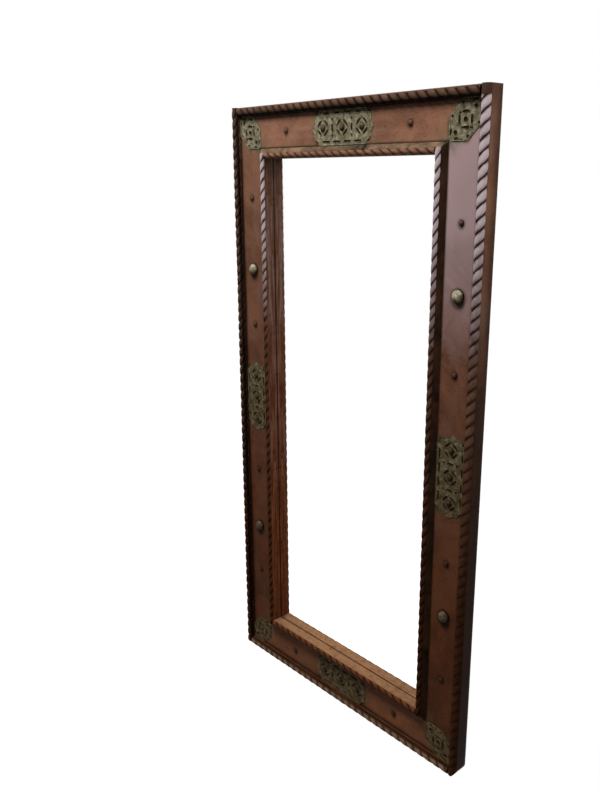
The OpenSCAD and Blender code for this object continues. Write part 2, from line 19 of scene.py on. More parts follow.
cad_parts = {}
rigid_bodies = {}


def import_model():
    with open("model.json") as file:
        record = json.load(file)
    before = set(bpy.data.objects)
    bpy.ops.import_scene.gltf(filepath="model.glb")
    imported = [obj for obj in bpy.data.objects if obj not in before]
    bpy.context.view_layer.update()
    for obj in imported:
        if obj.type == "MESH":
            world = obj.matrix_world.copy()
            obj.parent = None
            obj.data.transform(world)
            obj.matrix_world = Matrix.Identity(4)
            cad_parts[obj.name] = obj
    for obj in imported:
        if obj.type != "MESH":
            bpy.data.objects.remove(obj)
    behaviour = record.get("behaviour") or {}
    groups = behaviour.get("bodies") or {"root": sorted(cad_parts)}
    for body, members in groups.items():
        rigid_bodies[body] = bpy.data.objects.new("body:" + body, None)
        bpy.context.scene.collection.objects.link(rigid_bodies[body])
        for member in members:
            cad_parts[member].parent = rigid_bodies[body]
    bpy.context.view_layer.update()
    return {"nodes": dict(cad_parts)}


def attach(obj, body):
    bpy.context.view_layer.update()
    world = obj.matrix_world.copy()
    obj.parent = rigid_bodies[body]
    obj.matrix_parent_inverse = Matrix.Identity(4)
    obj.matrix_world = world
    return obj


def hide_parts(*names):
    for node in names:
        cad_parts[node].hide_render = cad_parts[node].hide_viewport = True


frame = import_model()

LOG = logging.getLogger("mirror")
Colour = tuple[int, int, int]
Value = NodeSocket | float | Sequence[float]
NODES = frame["nodes"]
MM = 0.001
TINY = 1e-6
BODY = "frame"


def rgba(colour: Colour) -> tuple[float, float, float, float]:
    """Turns a display colour into the linear colour that the shaders take.

    Args:
        colour: red, green and blue from 0 to 255.

    Returns:
        The linear colour with full alpha.
    """
    def linear(value: int) -> float:
        """Linear value of one display channel."""
        share = value / 255
        return share / 12.92 if share <= 0.04045 else ((share + 0.055) / 1.055) ** 2.4

    return (*(linear(value) for value in colour), 1.0)


def clamp(value: float) -> float:
    """Keeps a share between zero and one."""
    return min(1.0, max(0.0, value))


def fade(value: float, near: float, far: float) -> float:
    """Falls smoothly from one at near to zero at far.

    Args:
        value: the distance that is looked up.
        near: distance up to which the result is one.
        far: distance from which on the result is zero.

    Returns:
        A share from zero to one.
    """
    share = clamp((far - value) / (far - near))
    return share * share * (3 - 2 * share)


class Side(Enum):
    """The four sides of the frame, in the order round it."""

    BOTTOM = 0
    LEFT = 1
    TOP = 2
    RIGHT = 3

    @property
    def label(self) -> str:
        """Name of the side as the CAD nodes use it."""
        return self.name.lower()

    @property
    def sign(self) -> int:
        """Sign that turns a place to the right or upwards into one along the side."""
        return 1 if self in (Side.BOTTOM, Side.RIGHT) else -1

    @property
    def level(self) -> bool:
        """True for the top and the bottom side."""
        return self in (Side.BOTTOM, Side.TOP)


class Fixing(Enum):
    """Kinds of nail and stud on the face."""

    DOME = "dome"
    STUD = "stud"
    NAIL = "nail"
    BRAD = "brad"


@dataclass(frozen=True)
class FrameSizes:
    """Sizes of the frame that its pieces share, as the CAD model has them."""

    width: float = 900 * MM
    height: float = 1760 * MM
    rim_w: float = 24.4 * MM
    field_end: float = 115 * MM
    seat_start: float = 126.4 * MM
    seat_mid: float = 134.55 * MM
    face_w: float = 142.7 * MM
    field_mid: float = 69.7 * MM
    field_h: float = 32.0 * MM
    rim_h: float = 39.2 * MM
    lip_h: float = 43.4 * MM
    foot_r: float = 26 * MM
    mount_t: float = 1.5 * MM

    def length(self, side: Side) -> float:
        """Length of a side along its outer edge."""
        return self.width if side.level else self.height

    def place(self, side: Side) -> Matrix:
        """Brings what lies along the X axis with Z pointing inwards onto a side of the frame.

        Args:
            side: the side that the piece belongs to.

        Returns:
            The matrix from the side's own axes to those of the frame.
        """
        reach = (self.height if side.level else self.width) / 2
        turn = Matrix.Rotation(math.radians(90 * side.value), 4, "Y")
        return turn @ Matrix.Translation((0, 0, -reach))


@dataclass(frozen=True)
class FixingPlan:
    """Where the nails and studs stand, and where the mounts were nailed on."""

    mount_places: dict[Side, float] = field(default_factory=lambda: {
        Side.BOTTOM: 0, Side.LEFT: 21 * MM, Side.TOP: -6 * MM, Side.RIGHT: -31 * MM})
    end_studs: dict[Side, tuple[float, float]] = field(default_factory=lambda: {
        Side.BOTTOM: (239 * MM, 233 * MM), Side.LEFT: (300 * MM, 252 * MM),
        Side.TOP: (227 * MM, 229 * MM), Side.RIGHT: (271 * MM, 293 * MM)})
    inner_studs: dict[Side, tuple[float, ...]] = field(default_factory=lambda: {
        Side.BOTTOM: (), Side.LEFT: (-221 * MM, 253 * MM), Side.TOP: (), Side.RIGHT: (-267 * MM, 230 * MM)})
    head_r: dict[Fixing, float] = field(default_factory=lambda: {
        Fixing.DOME: 17.5 * MM, Fixing.STUD: 7.5 * MM, Fixing.NAIL: 9 * MM, Fixing.BRAD: 3.5 * MM})
    dome_place: float = 420 * MM
    nail_pitch: float = 70 * MM
    brad_offset: float = 23 * MM

    def spots(self, side: Side, kind: Fixing, sizes: FrameSizes) -> list[tuple[float, float]]:
        """Places of one kind of fixing on a side.

        Args:
            side: the side that carries them.
            kind: which nails or studs.
            sizes: the sizes of the frame.

        Returns:
            A list of places, each along the side and in from its outer edge.
        """
        mid = sizes.field_mid
        half = sizes.length(side) / 2
        if kind is Fixing.DOME:
            return [] if side.level else [(s * self.dome_place, mid) for s in (-1, 1)]
        if kind is Fixing.STUD:
            low, high = self.end_studs[side]
            ends = [low - half, half - high]
            return [(side.sign * spot, mid) for spot in (*ends, *self.inner_studs[side])]
        if kind is Fixing.NAIL:
            middle = side.sign * self.mount_places[side]
            return [(middle + n * self.nail_pitch, mid) for n in (-1, 0, 1)]
        shift = self.brad_offset / math.sqrt(2)
        return [(s * (half - mid - shift), mid - shift) for s in (-1, 1)]


# ---- Finishes ----


class NodeTable:
    """Adds nodes to an empty tree and feeds their inputs."""

    def __init__(self, tree: NodeTree) -> None:
        """Clears the tree.

        Args:
            tree: the tree that takes the nodes.
        """
        self.tree = tree
        self.tree.nodes.clear()

    def feed(self, target: NodeSocket, value: Value) -> None:
        """Links a socket to an input, or writes a plain value into it.

        Args:
            target: the input.
            value: an output to link, or the value to write.
        """
        if isinstance(value, NodeSocket):
            self.tree.links.new(value, target)
        else:
            target.default_value = value

    def node(self, kind: str, inputs: dict[str | int, Value] | None = None, **settings: str) -> Node:
        """Adds a node.

        Args:
            kind: its type, without the leading ShaderNode.
            inputs: what each of its inputs gets.
            settings: its settings.

        Returns:
            The new node.
        """
        node = self.tree.nodes.new(f"ShaderNode{kind}")
        for name, setting in settings.items():
            setattr(node, name, setting)
        for name, value in (inputs or {}).items():
            self.feed(node.inputs[name], value)
        return node

    def math(self, operation: str, *values: NodeSocket | float) -> NodeSocket:
        """Result of a calculation with one, two or three values."""
        return self.node("Math", dict(enumerate(values)), operation=operation).outputs["Value"]

    def span(self, value: NodeSocket, low: float, high: float, start: float = 0,
             end: float = 1) -> NodeSocket:
        """Maps the part of a value between low and high onto start to end, and clamps the rest."""
        return self.node("MapRange", {"Value": value, "From Min": low, "From Max": high,
                                      "To Min": start, "To Max": end}).outputs["Result"]


class NodeBench(NodeTable):
    """Lays out the nodes of one material round a principled shader."""

    def __init__(self, name: str) -> None:
        """Starts an empty material with its shader and output.

        Args:
            name: name of the new material.
        """
        self.material = bpy.data.materials.new(name)
        self.material.use_nodes = True
        super().__init__(self.material.node_tree)
        self.shader = self.node("BsdfPrincipled")
        self.node("OutputMaterial", {"Surface": self.shader.outputs["BSDF"]})
        self.place = self.node("TexCoord").outputs["Object"]

    def set(self, **values: Value) -> None:
        """Fills inputs of the principled shader.

        Args:
            values: what each input gets, under its name with underscores.
        """
        names = {socket.name.lower().replace(" ", "_"): socket for socket in self.shader.inputs}
        for name, value in values.items():
            self.feed(names[name], value)

    def stretched(self, x: float, y: float, z: float) -> NodeSocket:
        """Object coordinates scaled apart on the three axes."""
        return self.node("Mapping", {"Vector": self.place, "Scale": (x, y, z)}).outputs["Vector"]

    def noise(self, scale: float, detail: float = 4, rough: float = 0.55,
              vector: NodeSocket | None = None, distortion: float = 0) -> NodeSocket:
        """Cloudy pattern of so many patches a metre."""
        return self.node("TexNoise", {
            "Vector": vector or self.place, "Scale": scale, "Detail": detail, "Roughness": rough,
            "Distortion": distortion}).outputs["Fac"]

    def cells(self, scale: float) -> NodeSocket:
        """Distance to the nearest of scattered points, for hammer marks and bosses."""
        return self.node("TexVoronoi", {"Vector": self.place, "Scale": scale}).outputs["Distance"]

    def attribute(self, name: str) -> NodeSocket:
        """Value that the mesh carries at its points."""
        return self.node("Attribute", attribute_name=name).outputs["Fac"]

    def axis(self, name: str) -> NodeSocket:
        """One of the object coordinates: X, Y or Z."""
        return self.node("SeparateXYZ", {"Vector": self.place}).outputs[name]

    def rising(self, clouds: NodeSocket, spread: float, low: float, high: float,
               most: float) -> NodeSocket:
        """Share that grows with the height on the mirror up to its most, with a cloudy edge; it places the
        painted sheen.
        """
        moved = self.math("ADD", self.axis("Z"), self.span(clouds, 0.3, 0.7, -spread, spread))
        return self.span(moved, low, high, 0, most)

    def tint_below(self, colour: NodeSocket, tint: Colour, top: float, bottom: float) -> NodeSocket:
        """Multiplies a colour by a tint, more and more from one height down to another: painted shade, darker
        towards the bottom where less light falls.
        """
        return self.mix(self.span(self.axis("Z"), top, bottom), colour, tint, "MULTIPLY")

    def mix(self, share: NodeSocket | float, first: NodeSocket | Colour, second: NodeSocket | Colour,
            blend: str = "MIX") -> NodeSocket:
        """Blends two colours.

        Args:
            share: how much of the second colour there is.
            first: colour at zero.
            second: colour at one.
            blend: way of blending.

        Returns:
            The blended colour.
        """
        inputs = {0: share}
        for index, colour in ((6, first), (7, second)):
            inputs[index] = rgba(colour) if isinstance(colour, tuple) else colour
        return self.node("Mix", inputs, data_type="RGBA", blend_type=blend).outputs[2]

    def bump(self, height: NodeSocket, distance: float, strength: float = 1,
             under: NodeSocket | None = None) -> NodeSocket:
        """Normal of a fine relief.

        Args:
            height: pattern of the relief.
            distance: depth of the relief.
            strength: share of its effect.
            under: normal that it lies on.

        Returns:
            The bent normal.
        """
        inputs = {"Strength": strength, "Distance": distance, "Height": height}
        if under is not None:
            inputs["Normal"] = under
        return self.node("Bump", inputs).outputs["Normal"]


@dataclass(frozen=True)
class CopperSheetFinish:
    """Thin copper sheet gone brown with age, with grey bloom, green stains, some dirt, painted shade in its
    corners and recesses, darker towards the bottom, and a painted sheen where one is given.
    """

    name: str = "aged_copper_sheet"
    warm: Colour = (132, 92, 71)
    brown: Colour = (101, 69, 53)
    bloom: Colour = (124, 98, 86)
    bright: Colour = (154, 108, 82)
    speck: Colour = (58, 36, 26)
    green: Colour = (88, 88, 62)
    # colour of the painted shade, with some dirt, that the sheet's shade value mixes in
    grime: Colour = (28, 17, 11)
    # darkest painted shade, deep under the mounts where the piercings show the sheet
    pit: Colour = (44, 31, 23)
    # painted shade: tint that darkens the colour more and more towards the bottom
    low_tint: Colour = (212, 180, 150)
    grain: tuple[float, float, float] = (26, 26, 9)
    # painted sheen: pale colour laid on the upper part of the field, standing in for a window's reflection
    high_bloom: Colour | None = None
    specular: float = 0.012

    def material(self) -> Material:
        """Builds the finish.

        Returns:
            The new material.
        """
        bench = NodeBench(self.name)
        clouds = bench.noise(9, 5, 0.6, distortion=0.6)
        streaks = bench.noise(1, 5, 0.6, bench.stretched(*self.grain))
        specks = bench.noise(330, 3, 0.6)
        glints = bench.noise(1, 3, 0.6, bench.stretched(420, 420, 300))
        copper = bench.mix(bench.span(clouds, 0.36, 0.66), self.brown, self.warm)
        copper = bench.mix(bench.span(streaks, 0.5, 0.72, 0, 0.6), copper, self.bloom)
        copper = bench.mix(bench.span(specks, 0.56, 0.7, 0, 0.6), copper, self.speck)
        copper = bench.mix(bench.span(glints, 0.58, 0.7, 0, 0.45), copper, self.bright)
        copper = bench.tint_below(copper, self.low_tint, 0.6, -0.5)
        # painted sheen on the upper field, kept off the rim and side wall
        if self.high_bloom:
            on_field = bench.span(bench.axis("X"), 0.43, 0.42)
            high = bench.rising(clouds, 0.06, 0.24, 0.56, 0.85)
            copper = bench.mix(bench.math("MULTIPLY", on_field, high), copper, self.high_bloom)
        stain = bench.noise(70, 5, 0.65)
        green = bench.math("MULTIPLY", bench.attribute("green"), bench.span(stain, 0.3, 0.6, 0.15, 1))
        copper = bench.mix(bench.math("MINIMUM", green, 0.85), copper, self.green)
        # painted shade from the mesh: under the rims, along the inner seam, under the mounts, below the studs
        # and on the side wall, broken up by the stain noise
        grime = bench.math("MULTIPLY", bench.attribute("grime"), bench.span(stain, 0.2, 0.7, 1, 0.75))
        copper = bench.mix(bench.math("MINIMUM", grime, 0.95), copper, self.grime)
        copper = bench.mix(bench.span(bench.attribute("grime"), 0.88, 0.98), copper, self.pit)
        rough = bench.span(bench.noise(35, 4, 0.6), 0.3, 0.7, 0.16, 0.27)
        hammer = bench.bump(bench.noise(95, 3, 0.5), 0.4 * MM, 0.4)
        fine = bench.bump(bench.noise(700, 2, 0.5), 0.06 * MM, 0.5, hammer)
        bench.set(base_color=copper, specular_ior_level=self.specular, roughness=rough, normal=fine)
        return bench.material


@dataclass(frozen=True)
class LinerFinish:
    """Copper of bevel, rope seat and reveal, with dirt and painted shade in dark clouds on the bevel and
    painted shade where the reveal meets the glass.
    """

    name: str
    bevel: Colour
    reveal: Colour
    # streak colour; on the upright reveals its pale streaks are painted reflections
    streak: Colour
    green: Colour = (84, 88, 64)
    green_share: float = 0.5
    # colour of dirt and of painted shade
    grime: Colour = (30, 20, 15)
    specular: float = 0.012
    grain: tuple[float, float, float] = (38, 150, 9)
    # height up to which the painted shade by the glass reaches
    grime_height: float = 14 * MM
    # painted shade: tint that darkens the colour more and more towards the bottom
    low_tint: Colour | None = None

    def material(self) -> Material:
        """Builds the finish.

        Returns:
            The new material.
        """
        bench = NodeBench(self.name)
        size = FrameSizes()
        from_side = bench.math("SUBTRACT", size.width / 2, bench.math("ABSOLUTE", bench.axis("X")))
        from_level = bench.math("SUBTRACT", size.height / 2, bench.math("ABSOLUTE", bench.axis("Z")))
        inward = bench.math("MINIMUM", from_side, from_level)
        clouds = bench.noise(14, 5, 0.6, distortion=0.5)
        stain = bench.noise(70, 5, 0.65)
        streaks = bench.noise(1, 4, 0.6, bench.stretched(*self.grain))
        reveal = bench.mix(bench.span(streaks, 0.42, 0.62), self.reveal, self.streak)
        # dark clouds on the bevel: partly dirt, partly painted shade
        bevel = bench.mix(bench.span(clouds, 0.36, 0.62), self.grime, self.bevel)
        bevel = bench.mix(bench.span(stain, 0.42, 0.6, 0, self.green_share), bevel, self.green)
        copper = bench.mix(bench.span(inward, size.seat_start, size.face_w), bevel, reveal)
        copper = bench.mix(bench.span(stain, 0.5, 0.7, 0, 0.5), copper, self.grime)
        height = bench.math("MULTIPLY", bench.axis("Y"), -1)
        # painted shade where the reveal meets the glass
        corner = bench.span(height, 11.5 * MM, self.grime_height, 0.95, 0)
        copper = bench.mix(corner, copper, self.grime)
        if self.low_tint:
            copper = bench.tint_below(copper, self.low_tint, 0.6, -0.4)
        rough = bench.span(bench.noise(35, 4, 0.6), 0.3, 0.7, 0.42, 0.62)
        bench.set(base_color=copper, specular_ior_level=self.specular, roughness=rough,
                  normal=bench.bump(bench.noise(120, 3, 0.5), 0.4 * MM, 0.5))
        return bench.material


@dataclass(frozen=True)
class RopeFinish:
    """Copper-clad rope: grimy grooves, brown flanks and crests worn bright, with a painted sheen on the upper
    crests where one is given.
    """

    name: str = "rope_copper"
    crest: Colour = (128, 90, 68)
    flank: Colour = (76, 52, 39)
    groove: Colour = (12, 8, 6)
    # painted shade: tint that darkens the colour more and more towards the bottom
    low_tint: Colour = (204, 170, 138)
    # painted sheen: pale colour laid on the upper crests, standing in for highlights
    high_bloom: Colour | None = None
    specular: float = 0.02
    roughness: tuple[float, float] = (0.5, 0.24)

    def material(self) -> Material:
        """Builds the finish.

        Returns:
            The new material.
        """
        bench = NodeBench(self.name)
        crest = bench.attribute("crest")
        clouds = bench.noise(45, 4, 0.6)
        height = bench.math("ADD", crest, bench.span(clouds, 0.3, 0.7, -0.14, 0.14))
        copper = bench.mix(bench.span(height, 0.1, 0.62), self.groove, self.flank)
        copper = bench.mix(bench.span(height, 0.62, 0.98), copper, self.crest)
        tint = bench.noise(8, 4, 0.6)
        copper = bench.mix(bench.span(tint, 0.4, 0.7, 0, 0.45), copper, self.flank)
        copper = bench.tint_below(copper, self.low_tint, 0.5, -0.4)
        # painted highlight on the crests, growing with height
        if self.high_bloom:
            high = bench.rising(clouds, 0.05, 0.26, 0.6, 0.9)
            on_crest = bench.span(height, 0.5, 0.95)
            copper = bench.mix(bench.math("MULTIPLY", high, on_crest), copper, self.high_bloom)
        rough = bench.span(crest, 0.3, 1.0, *self.roughness)
        bench.set(base_color=copper, specular_ior_level=self.specular, roughness=rough,
                  normal=bench.bump(bench.noise(420, 3, 0.5), 0.15 * MM, 0.5))
        return bench.material


@dataclass(frozen=True)
class VerdigrisFinish:
    """Dull green-brown patina of the pierced mounts, with painted shade between the bosses, painted shade and
    some dirt round the piercings, and darker towards the bottom.
    """

    name: str = "verdigris_patina"
    pale: Colour = (178, 176, 146)
    green: Colour = (146, 142, 114)
    brown: Colour = (106, 92, 70)
    dark: Colour = (56, 43, 32)
    # painted shade: tint that darkens the colour more and more towards the bottom
    low_tint: Colour = (206, 184, 160)
    specular: float = 0.012

    def material(self) -> Material:
        """Builds the finish.

        Returns:
            The new material.
        """
        bench = NodeBench(self.name)
        clouds = bench.noise(60, 5, 0.65, distortion=0.4)
        patina = bench.mix(bench.span(clouds, 0.34, 0.6), self.brown, self.green)
        patina = bench.mix(bench.span(bench.noise(130, 4, 0.6), 0.5, 0.7, 0, 0.8), patina, self.pale)
        sunk = bench.attribute("sunk")
        sunk_dark = bench.math("MULTIPLY", sunk, bench.span(clouds, 0.3, 0.7, 0.4, 0.1))
        patina = bench.mix(sunk_dark, patina, self.dark)
        bosses = bench.cells(78)
        # painted shade: darker between the raised bosses
        patina = bench.mix(bench.span(bosses, 0.44, 0.66, 0, 0.4), patina, self.dark)
        # painted shade with some dirt round the rims of the piercings
        patina = bench.mix(bench.span(bench.attribute("hole"), 0.15, 0.8), patina, self.dark)
        patina = bench.tint_below(patina, self.low_tint, 0.6, -0.3)
        raised = bench.bump(bosses, -1.0 * MM, 0.6)
        relief = bench.bump(bench.noise(210, 4, 0.65), 0.8 * MM, 0.8, raised)
        bench.set(base_color=patina, specular_ior_level=self.specular,
                  roughness=bench.span(clouds, 0.3, 0.7, 0.5, 0.72), normal=relief)
        return bench.material


@dataclass(frozen=True)
class StudFinish:
    """Worn metal of studs and nail heads, with some dirt, painted shade round their feet and on their lower
    sides, and darker towards the bottom.
    """

    name: str
    bright: Colour
    body: Colour
    # colour of dirt patches and of the painted shade at the feet and lower sides
    grime: Colour = (38, 31, 24)
    # painted shade: tint that darkens the colour more and more towards the bottom
    low_tint: Colour = (206, 188, 168)
    metallic: float = 0.02
    specular: float = 0.04
    roughness: tuple[float, float] = (0.32, 0.5)

    def material(self) -> Material:
        """Builds the finish.

        Returns:
            The new material.
        """
        bench = NodeBench(self.name)
        clouds = bench.noise(120, 4, 0.6)
        metal = bench.mix(bench.span(clouds, 0.36, 0.64), self.body, self.bright)
        metal = bench.mix(bench.span(bench.noise(260, 4, 0.65), 0.5, 0.7, 0, 0.5), metal, self.grime)
        # painted shade: dark at the foot of each head and on its lower side
        metal = bench.mix(bench.attribute("foot"), metal, self.grime)
        metal = bench.tint_below(metal, self.low_tint, 0.45, -0.3)
        bench.set(base_color=metal, metallic=self.metallic, specular_ior_level=self.specular,
                  roughness=bench.span(clouds, 0.3, 0.7, *self.roughness),
                  normal=bench.bump(bench.cells(170), 0.9 * MM, 0.7))
        return bench.material


@dataclass(frozen=True)
class MirrorFinish:
    """Silvered glass."""

    name: str = "silvered_glass"
    silver: tuple[float, float, float, float] = (0.995, 0.997, 0.995, 1)

    def material(self) -> Material:
        """Builds the finish.

        Returns:
            The new material.
        """
        bench = NodeBench(self.name)
        haze = bench.noise(6, 3, 0.5)
        bench.set(base_color=self.silver, metallic=1.0, roughness=bench.span(haze, 0.3, 0.8, 0.0, 0.02))
        return bench.material


@dataclass(frozen=True)
class WoodFinish:
    """Bare wood with its grain along one axis."""

    name: str
    light: Colour
    dark: Colour
    grain: tuple[float, float, float]
    roughness: float = 0.6

    def material(self) -> Material:
        """Builds the finish.

        Returns:
            The new material.
        """
        bench = NodeBench(self.name)
        fibres = bench.noise(1, 6, 0.62, bench.stretched(*self.grain), 0.8)
        pores = bench.noise(1, 3, 0.6, bench.stretched(*(4.2 * scale for scale in self.grain)))
        clouds = bench.noise(5, 4, 0.6)
        wood = bench.mix(bench.span(fibres, 0.36, 0.64), self.dark, self.light)
        wood = bench.mix(bench.span(pores, 0.56, 0.7, 0, 0.55), wood, self.dark)
        wood = bench.mix(bench.span(clouds, 0.4, 0.75, 0, 0.35), wood, self.dark)
        bench.set(base_color=wood, roughness=self.roughness, specular_ior_level=0.25,
                  normal=bench.bump(pores, 0.2 * MM, 0.6))
        return bench.material


@dataclass(frozen=True)
class SteelFinish:
    """Zinc-plated steel of hangers, rings and screws."""

    name: str = "zinc_plated_steel"
    bright: Colour = (172, 174, 178)
    dull: Colour = (120, 120, 122)

    def material(self) -> Material:
        """Builds the finish.

        Returns:
            The new material.
        """
        bench = NodeBench(self.name)
        clouds = bench.noise(180, 4, 0.6)
        steel = bench.mix(bench.span(clouds, 0.35, 0.65), self.dull, self.bright)
        bench.set(base_color=steel, metallic=0.85, roughness=bench.span(clouds, 0.3, 0.7, 0.3, 0.48),
                  normal=bench.bump(bench.noise(900, 2, 0.5), 0.05 * MM, 0.4))
        return bench.material


# ---- Making pieces ----


def finish_piece(mesh: BMesh, name: str, material: Material,
                 replaced: Sequence[str] = (), sharp: float = 40) -> Object:
    """Turns a finished mesh into a piece of the frame.

    Args:
        mesh: the mesh, in the frame's own place.
        name: name of the new piece.
        material: finish of the piece.
        replaced: CAD nodes that the piece stands for.
        sharp: angle in degrees from which on an edge stays sharp.

    Returns:
        The new object.
    """
    data = bpy.data.meshes.new(name)
    for face in mesh.faces:
        face.smooth = True
    for edge in mesh.edges:
        edge.smooth = len(edge.link_faces) != 2 or edge.calc_face_angle(0) < math.radians(sharp)
    mesh.to_mesh(data)
    mesh.free()
    data.materials.append(material)
    piece = bpy.data.objects.new(name, data)
    bpy.context.scene.collection.objects.link(piece)
    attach(piece, BODY)
    if replaced:
        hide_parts(*replaced)
    LOG.info("%s: %d points, %d faces", name, len(data.vertices), len(data.polygons))
    return piece


def dress(material: Material, names: Sequence[str]) -> None:
    """Gives CAD nodes a finish.

    Args:
        material: the finish.
        names: names of the nodes.
    """
    for name in names:
        slots = NODES[name].data.materials
        for index in range(len(slots)):
            slots[index] = material
        if not slots:
            slots.append(material)
    LOG.info("%s on %s", material.name, ", ".join(names))


def wobble(point: Vector, size: float, seed: float = 0) -> float:
    """Smooth random value from about -1 to 1 for a place, with patches of a given size."""
    return noise.noise(point / size + Vector((seed, 0.37 * seed, -seed)))


@dataclass
class RopeMoulding:
    """Half-round rope of two strands, swept as a screw and cut flat where it is seated."""

    name: str
    radius: float
    pitch: float
    groove: float
    start: Vector
    span: float
    level: bool
    # painted shade: the flank on this side, toward the glass, is darkened from this share of the radius on
    dark_side: int = 0
    dark_from: float = 0.1
    foot_side: int = 0
    foot_z: float = 0
    plain_end: float = 0
    low_wear: float = 0
    dull_levels: tuple[float, ...] = (0.42, 0.3)
    ring_points: int = 48
    pitch_steps: int = 16
    strands: int = 2
    lobe_flat: float = 2.4
    lobe_round: float = 0.6
    uneven: float = 0.35 * MM
    uneven_fine: float = 0.25 * MM
    shrink: float = 0.2 * MM
    foot_r: float = FrameSizes.foot_r
    dark_fade: float = 0.45
    worn_crest: float = 0.6
    worn_low: float = -0.35
    worn_high: float = 0.4
    plain_crest: float = 0.3
    plain_sink: float = 0.3 * MM

    def section(self, mesh: BMesh) -> list[BMVert]:
        """Draws the closed section of the rope, with a rounded lobe for each strand.

        Args:
            mesh: the mesh that takes the section.

        Returns:
            The section's points, in their order round it.
        """
        made = bmesh.ops.create_circle(mesh, segments=self.ring_points, radius=1)["verts"]
        made.sort(key=lambda point: math.atan2(point.co.y, point.co.x))
        for point in made:
            angle = math.degrees(math.atan2(point.co.x, -point.co.y))
            share = (-self.strands * angle / 360) % 1
            bulge = (1 - abs(2 * share - 1) ** self.lobe_flat) ** self.lobe_round
            point.co *= self.radius - self.groove * (1 - bulge)
        return made

    def foot_in(self, height: float) -> float:
        """Looks up how far the rounded bottom corner reaches in.

        Args:
            height: height above the frame's bottom.

        Returns:
            The distance in from the frame's side.
        """
        if height >= self.foot_r:
            return 0.0
        return self.foot_r - math.sqrt(self.foot_r ** 2 - (self.foot_r - max(0.0, height)) ** 2)

    def weather(self, mesh: BMesh) -> None:
        """Makes the strands a little uneven, smooths a plain end and follows a rounded corner. It also stores
        how high each point stands on its strand, with painted shade on the flank that faces the glass.

        Args:
            mesh: the swept rope, still round and standing on the origin.
        """
        crest = mesh.verts.layers.float.new("crest")
        for point in mesh.verts:
            flat = Vector((point.co.x, point.co.y, 0))
            reach = max(flat.length, TINY)
            place = point.co + self.start
            point[crest] = clamp((reach - self.radius + self.groove) / self.groove)
            # painted shade: on the shaded flank the crest value drops, so that flank takes the dark groove
            # colour
            if self.dark_side:
                turned = self.dark_side * point.co.x / self.radius
                point[crest] *= fade(turned, self.dark_from, self.dark_from + self.dark_fade)
            worn = self.low_wear * fade(place.z, self.worn_low, self.worn_high)
            reach_now = reach + (self.radius - reach) * worn
            point[crest] += (self.worn_crest - point[crest]) * worn
            uneven = self.uneven * wobble(place, 22 * MM, 3) + self.uneven_fine * wobble(place, 9 * MM, 7)
            wanted = min(self.radius, reach_now + min(0.0, uneven - self.shrink))
            if self.plain_end:
                plain = fade(self.span - point.co.z, 0.75 * self.plain_end, self.plain_end)
                wanted += (self.radius - self.plain_sink - wanted) * plain
                point[crest] += (self.plain_crest - point[crest]) * plain
            point.co.x *= wanted / reach
            point.co.y *= wanted / reach
            if self.foot_side:
                edge = self.radius - self.foot_in(point.co.z + self.foot_z)
                if self.foot_side * point.co.x > edge:
                    point.co.x = self.foot_side * edge

    def sweep(self, mesh: BMesh) -> None:
        """Sweeps one strand's pitch as a screw, cuts it at the seat and repeats it along the rope.

        Args:
            mesh: the empty mesh that takes the open half round.
        """
        ring = self.section(mesh)
        edges = list({edge for point in ring for edge in point.link_edges})
        bmesh.ops.spin(mesh, geom=ring + edges, cent=(0, 0, 0), axis=(0, 0, 1), use_merge=False,
                       angle=2 * math.pi / self.strands, dvec=(0, 0, self.pitch / self.pitch_steps),
                       steps=self.pitch_steps)
        self.cut(mesh, (0, 0, 0), (0, 1, 0))
        length = self.pitch
        while length < self.span:
            copy = bmesh.ops.duplicate(mesh, geom=mesh.verts[:] + mesh.edges[:] + mesh.faces[:])["geom"]
            bmesh.ops.translate(mesh, vec=(0, 0, length),
                                verts=[item for item in copy if isinstance(item, BMVert)])
            length *= 2
            self.cut(mesh, (0, 0, self.span), (0, 0, 1))
        bmesh.ops.remove_doubles(mesh, verts=mesh.verts[:], dist=TINY)

    @staticmethod
    def cut(mesh: BMesh, place: Sequence[float], out: Sequence[float]) -> None:
        """Cuts a mesh at a plane and drops what lies outside it."""
        bmesh.ops.bisect_plane(mesh, geom=mesh.verts[:] + mesh.edges[:] + mesh.faces[:], dist=1e-7,
                               plane_co=place, plane_no=out, clear_outer=True)

    def close(self, mesh: BMesh) -> None:
        """Closes the flat seat and the two ends.

        Args:
            mesh: the open half round.
        """
        seat = [edge for edge in mesh.edges if edge.is_boundary and
                abs(edge.verts[0].co.z - edge.verts[1].co.z) > TINY and
                all(abs(point.co.y) < TINY for point in edge.verts)]
        bmesh.ops.bridge_loops(mesh, edges=seat)
        for low, high in ((-1, TINY), (self.span - TINY, self.span + 1)):
            rim = [edge for edge in mesh.edges if edge.is_boundary and
                   all(low < point.co.z < high for point in edge.verts)]
            bmesh.ops.contextual_create(mesh, geom=rim)
        bmesh.ops.recalc_face_normals(mesh, faces=mesh.faces[:])

    def build(self, finishes: Sequence[Material]) -> None:
        """Sweeps, closes and places the rope.

        Args:
            finishes: material of the rope, and of an upright one those of its duller lower parts.
        """
        mesh = bmesh.new()
        self.sweep(mesh)
        self.close(mesh)
        self.weather(mesh)
        turn = Matrix.Rotation(math.pi / 2, 4, "Y") if self.level else Matrix.Identity(4)
        mesh.transform(Matrix.Translation(self.start) @ turn)
        if len(finishes) > 1:
            for face in mesh.faces:
                centre = face.calc_center_median()
                height = centre.z + 0.03 * wobble(centre, 50 * MM, 31)
                plain = self.plain_end > 0 and centre.z > self.start.z + self.span - self.plain_end
                duller = sum(height < level for level in self.dull_levels)
                face.material_index = len(self.dull_levels) if plain else duller
        piece = finish_piece(mesh, f"{self.name}_twisted", finishes[0], [self.name],
                             sharp=50)
        for finish in finishes[1:]:
            piece.data.materials.append(finish)


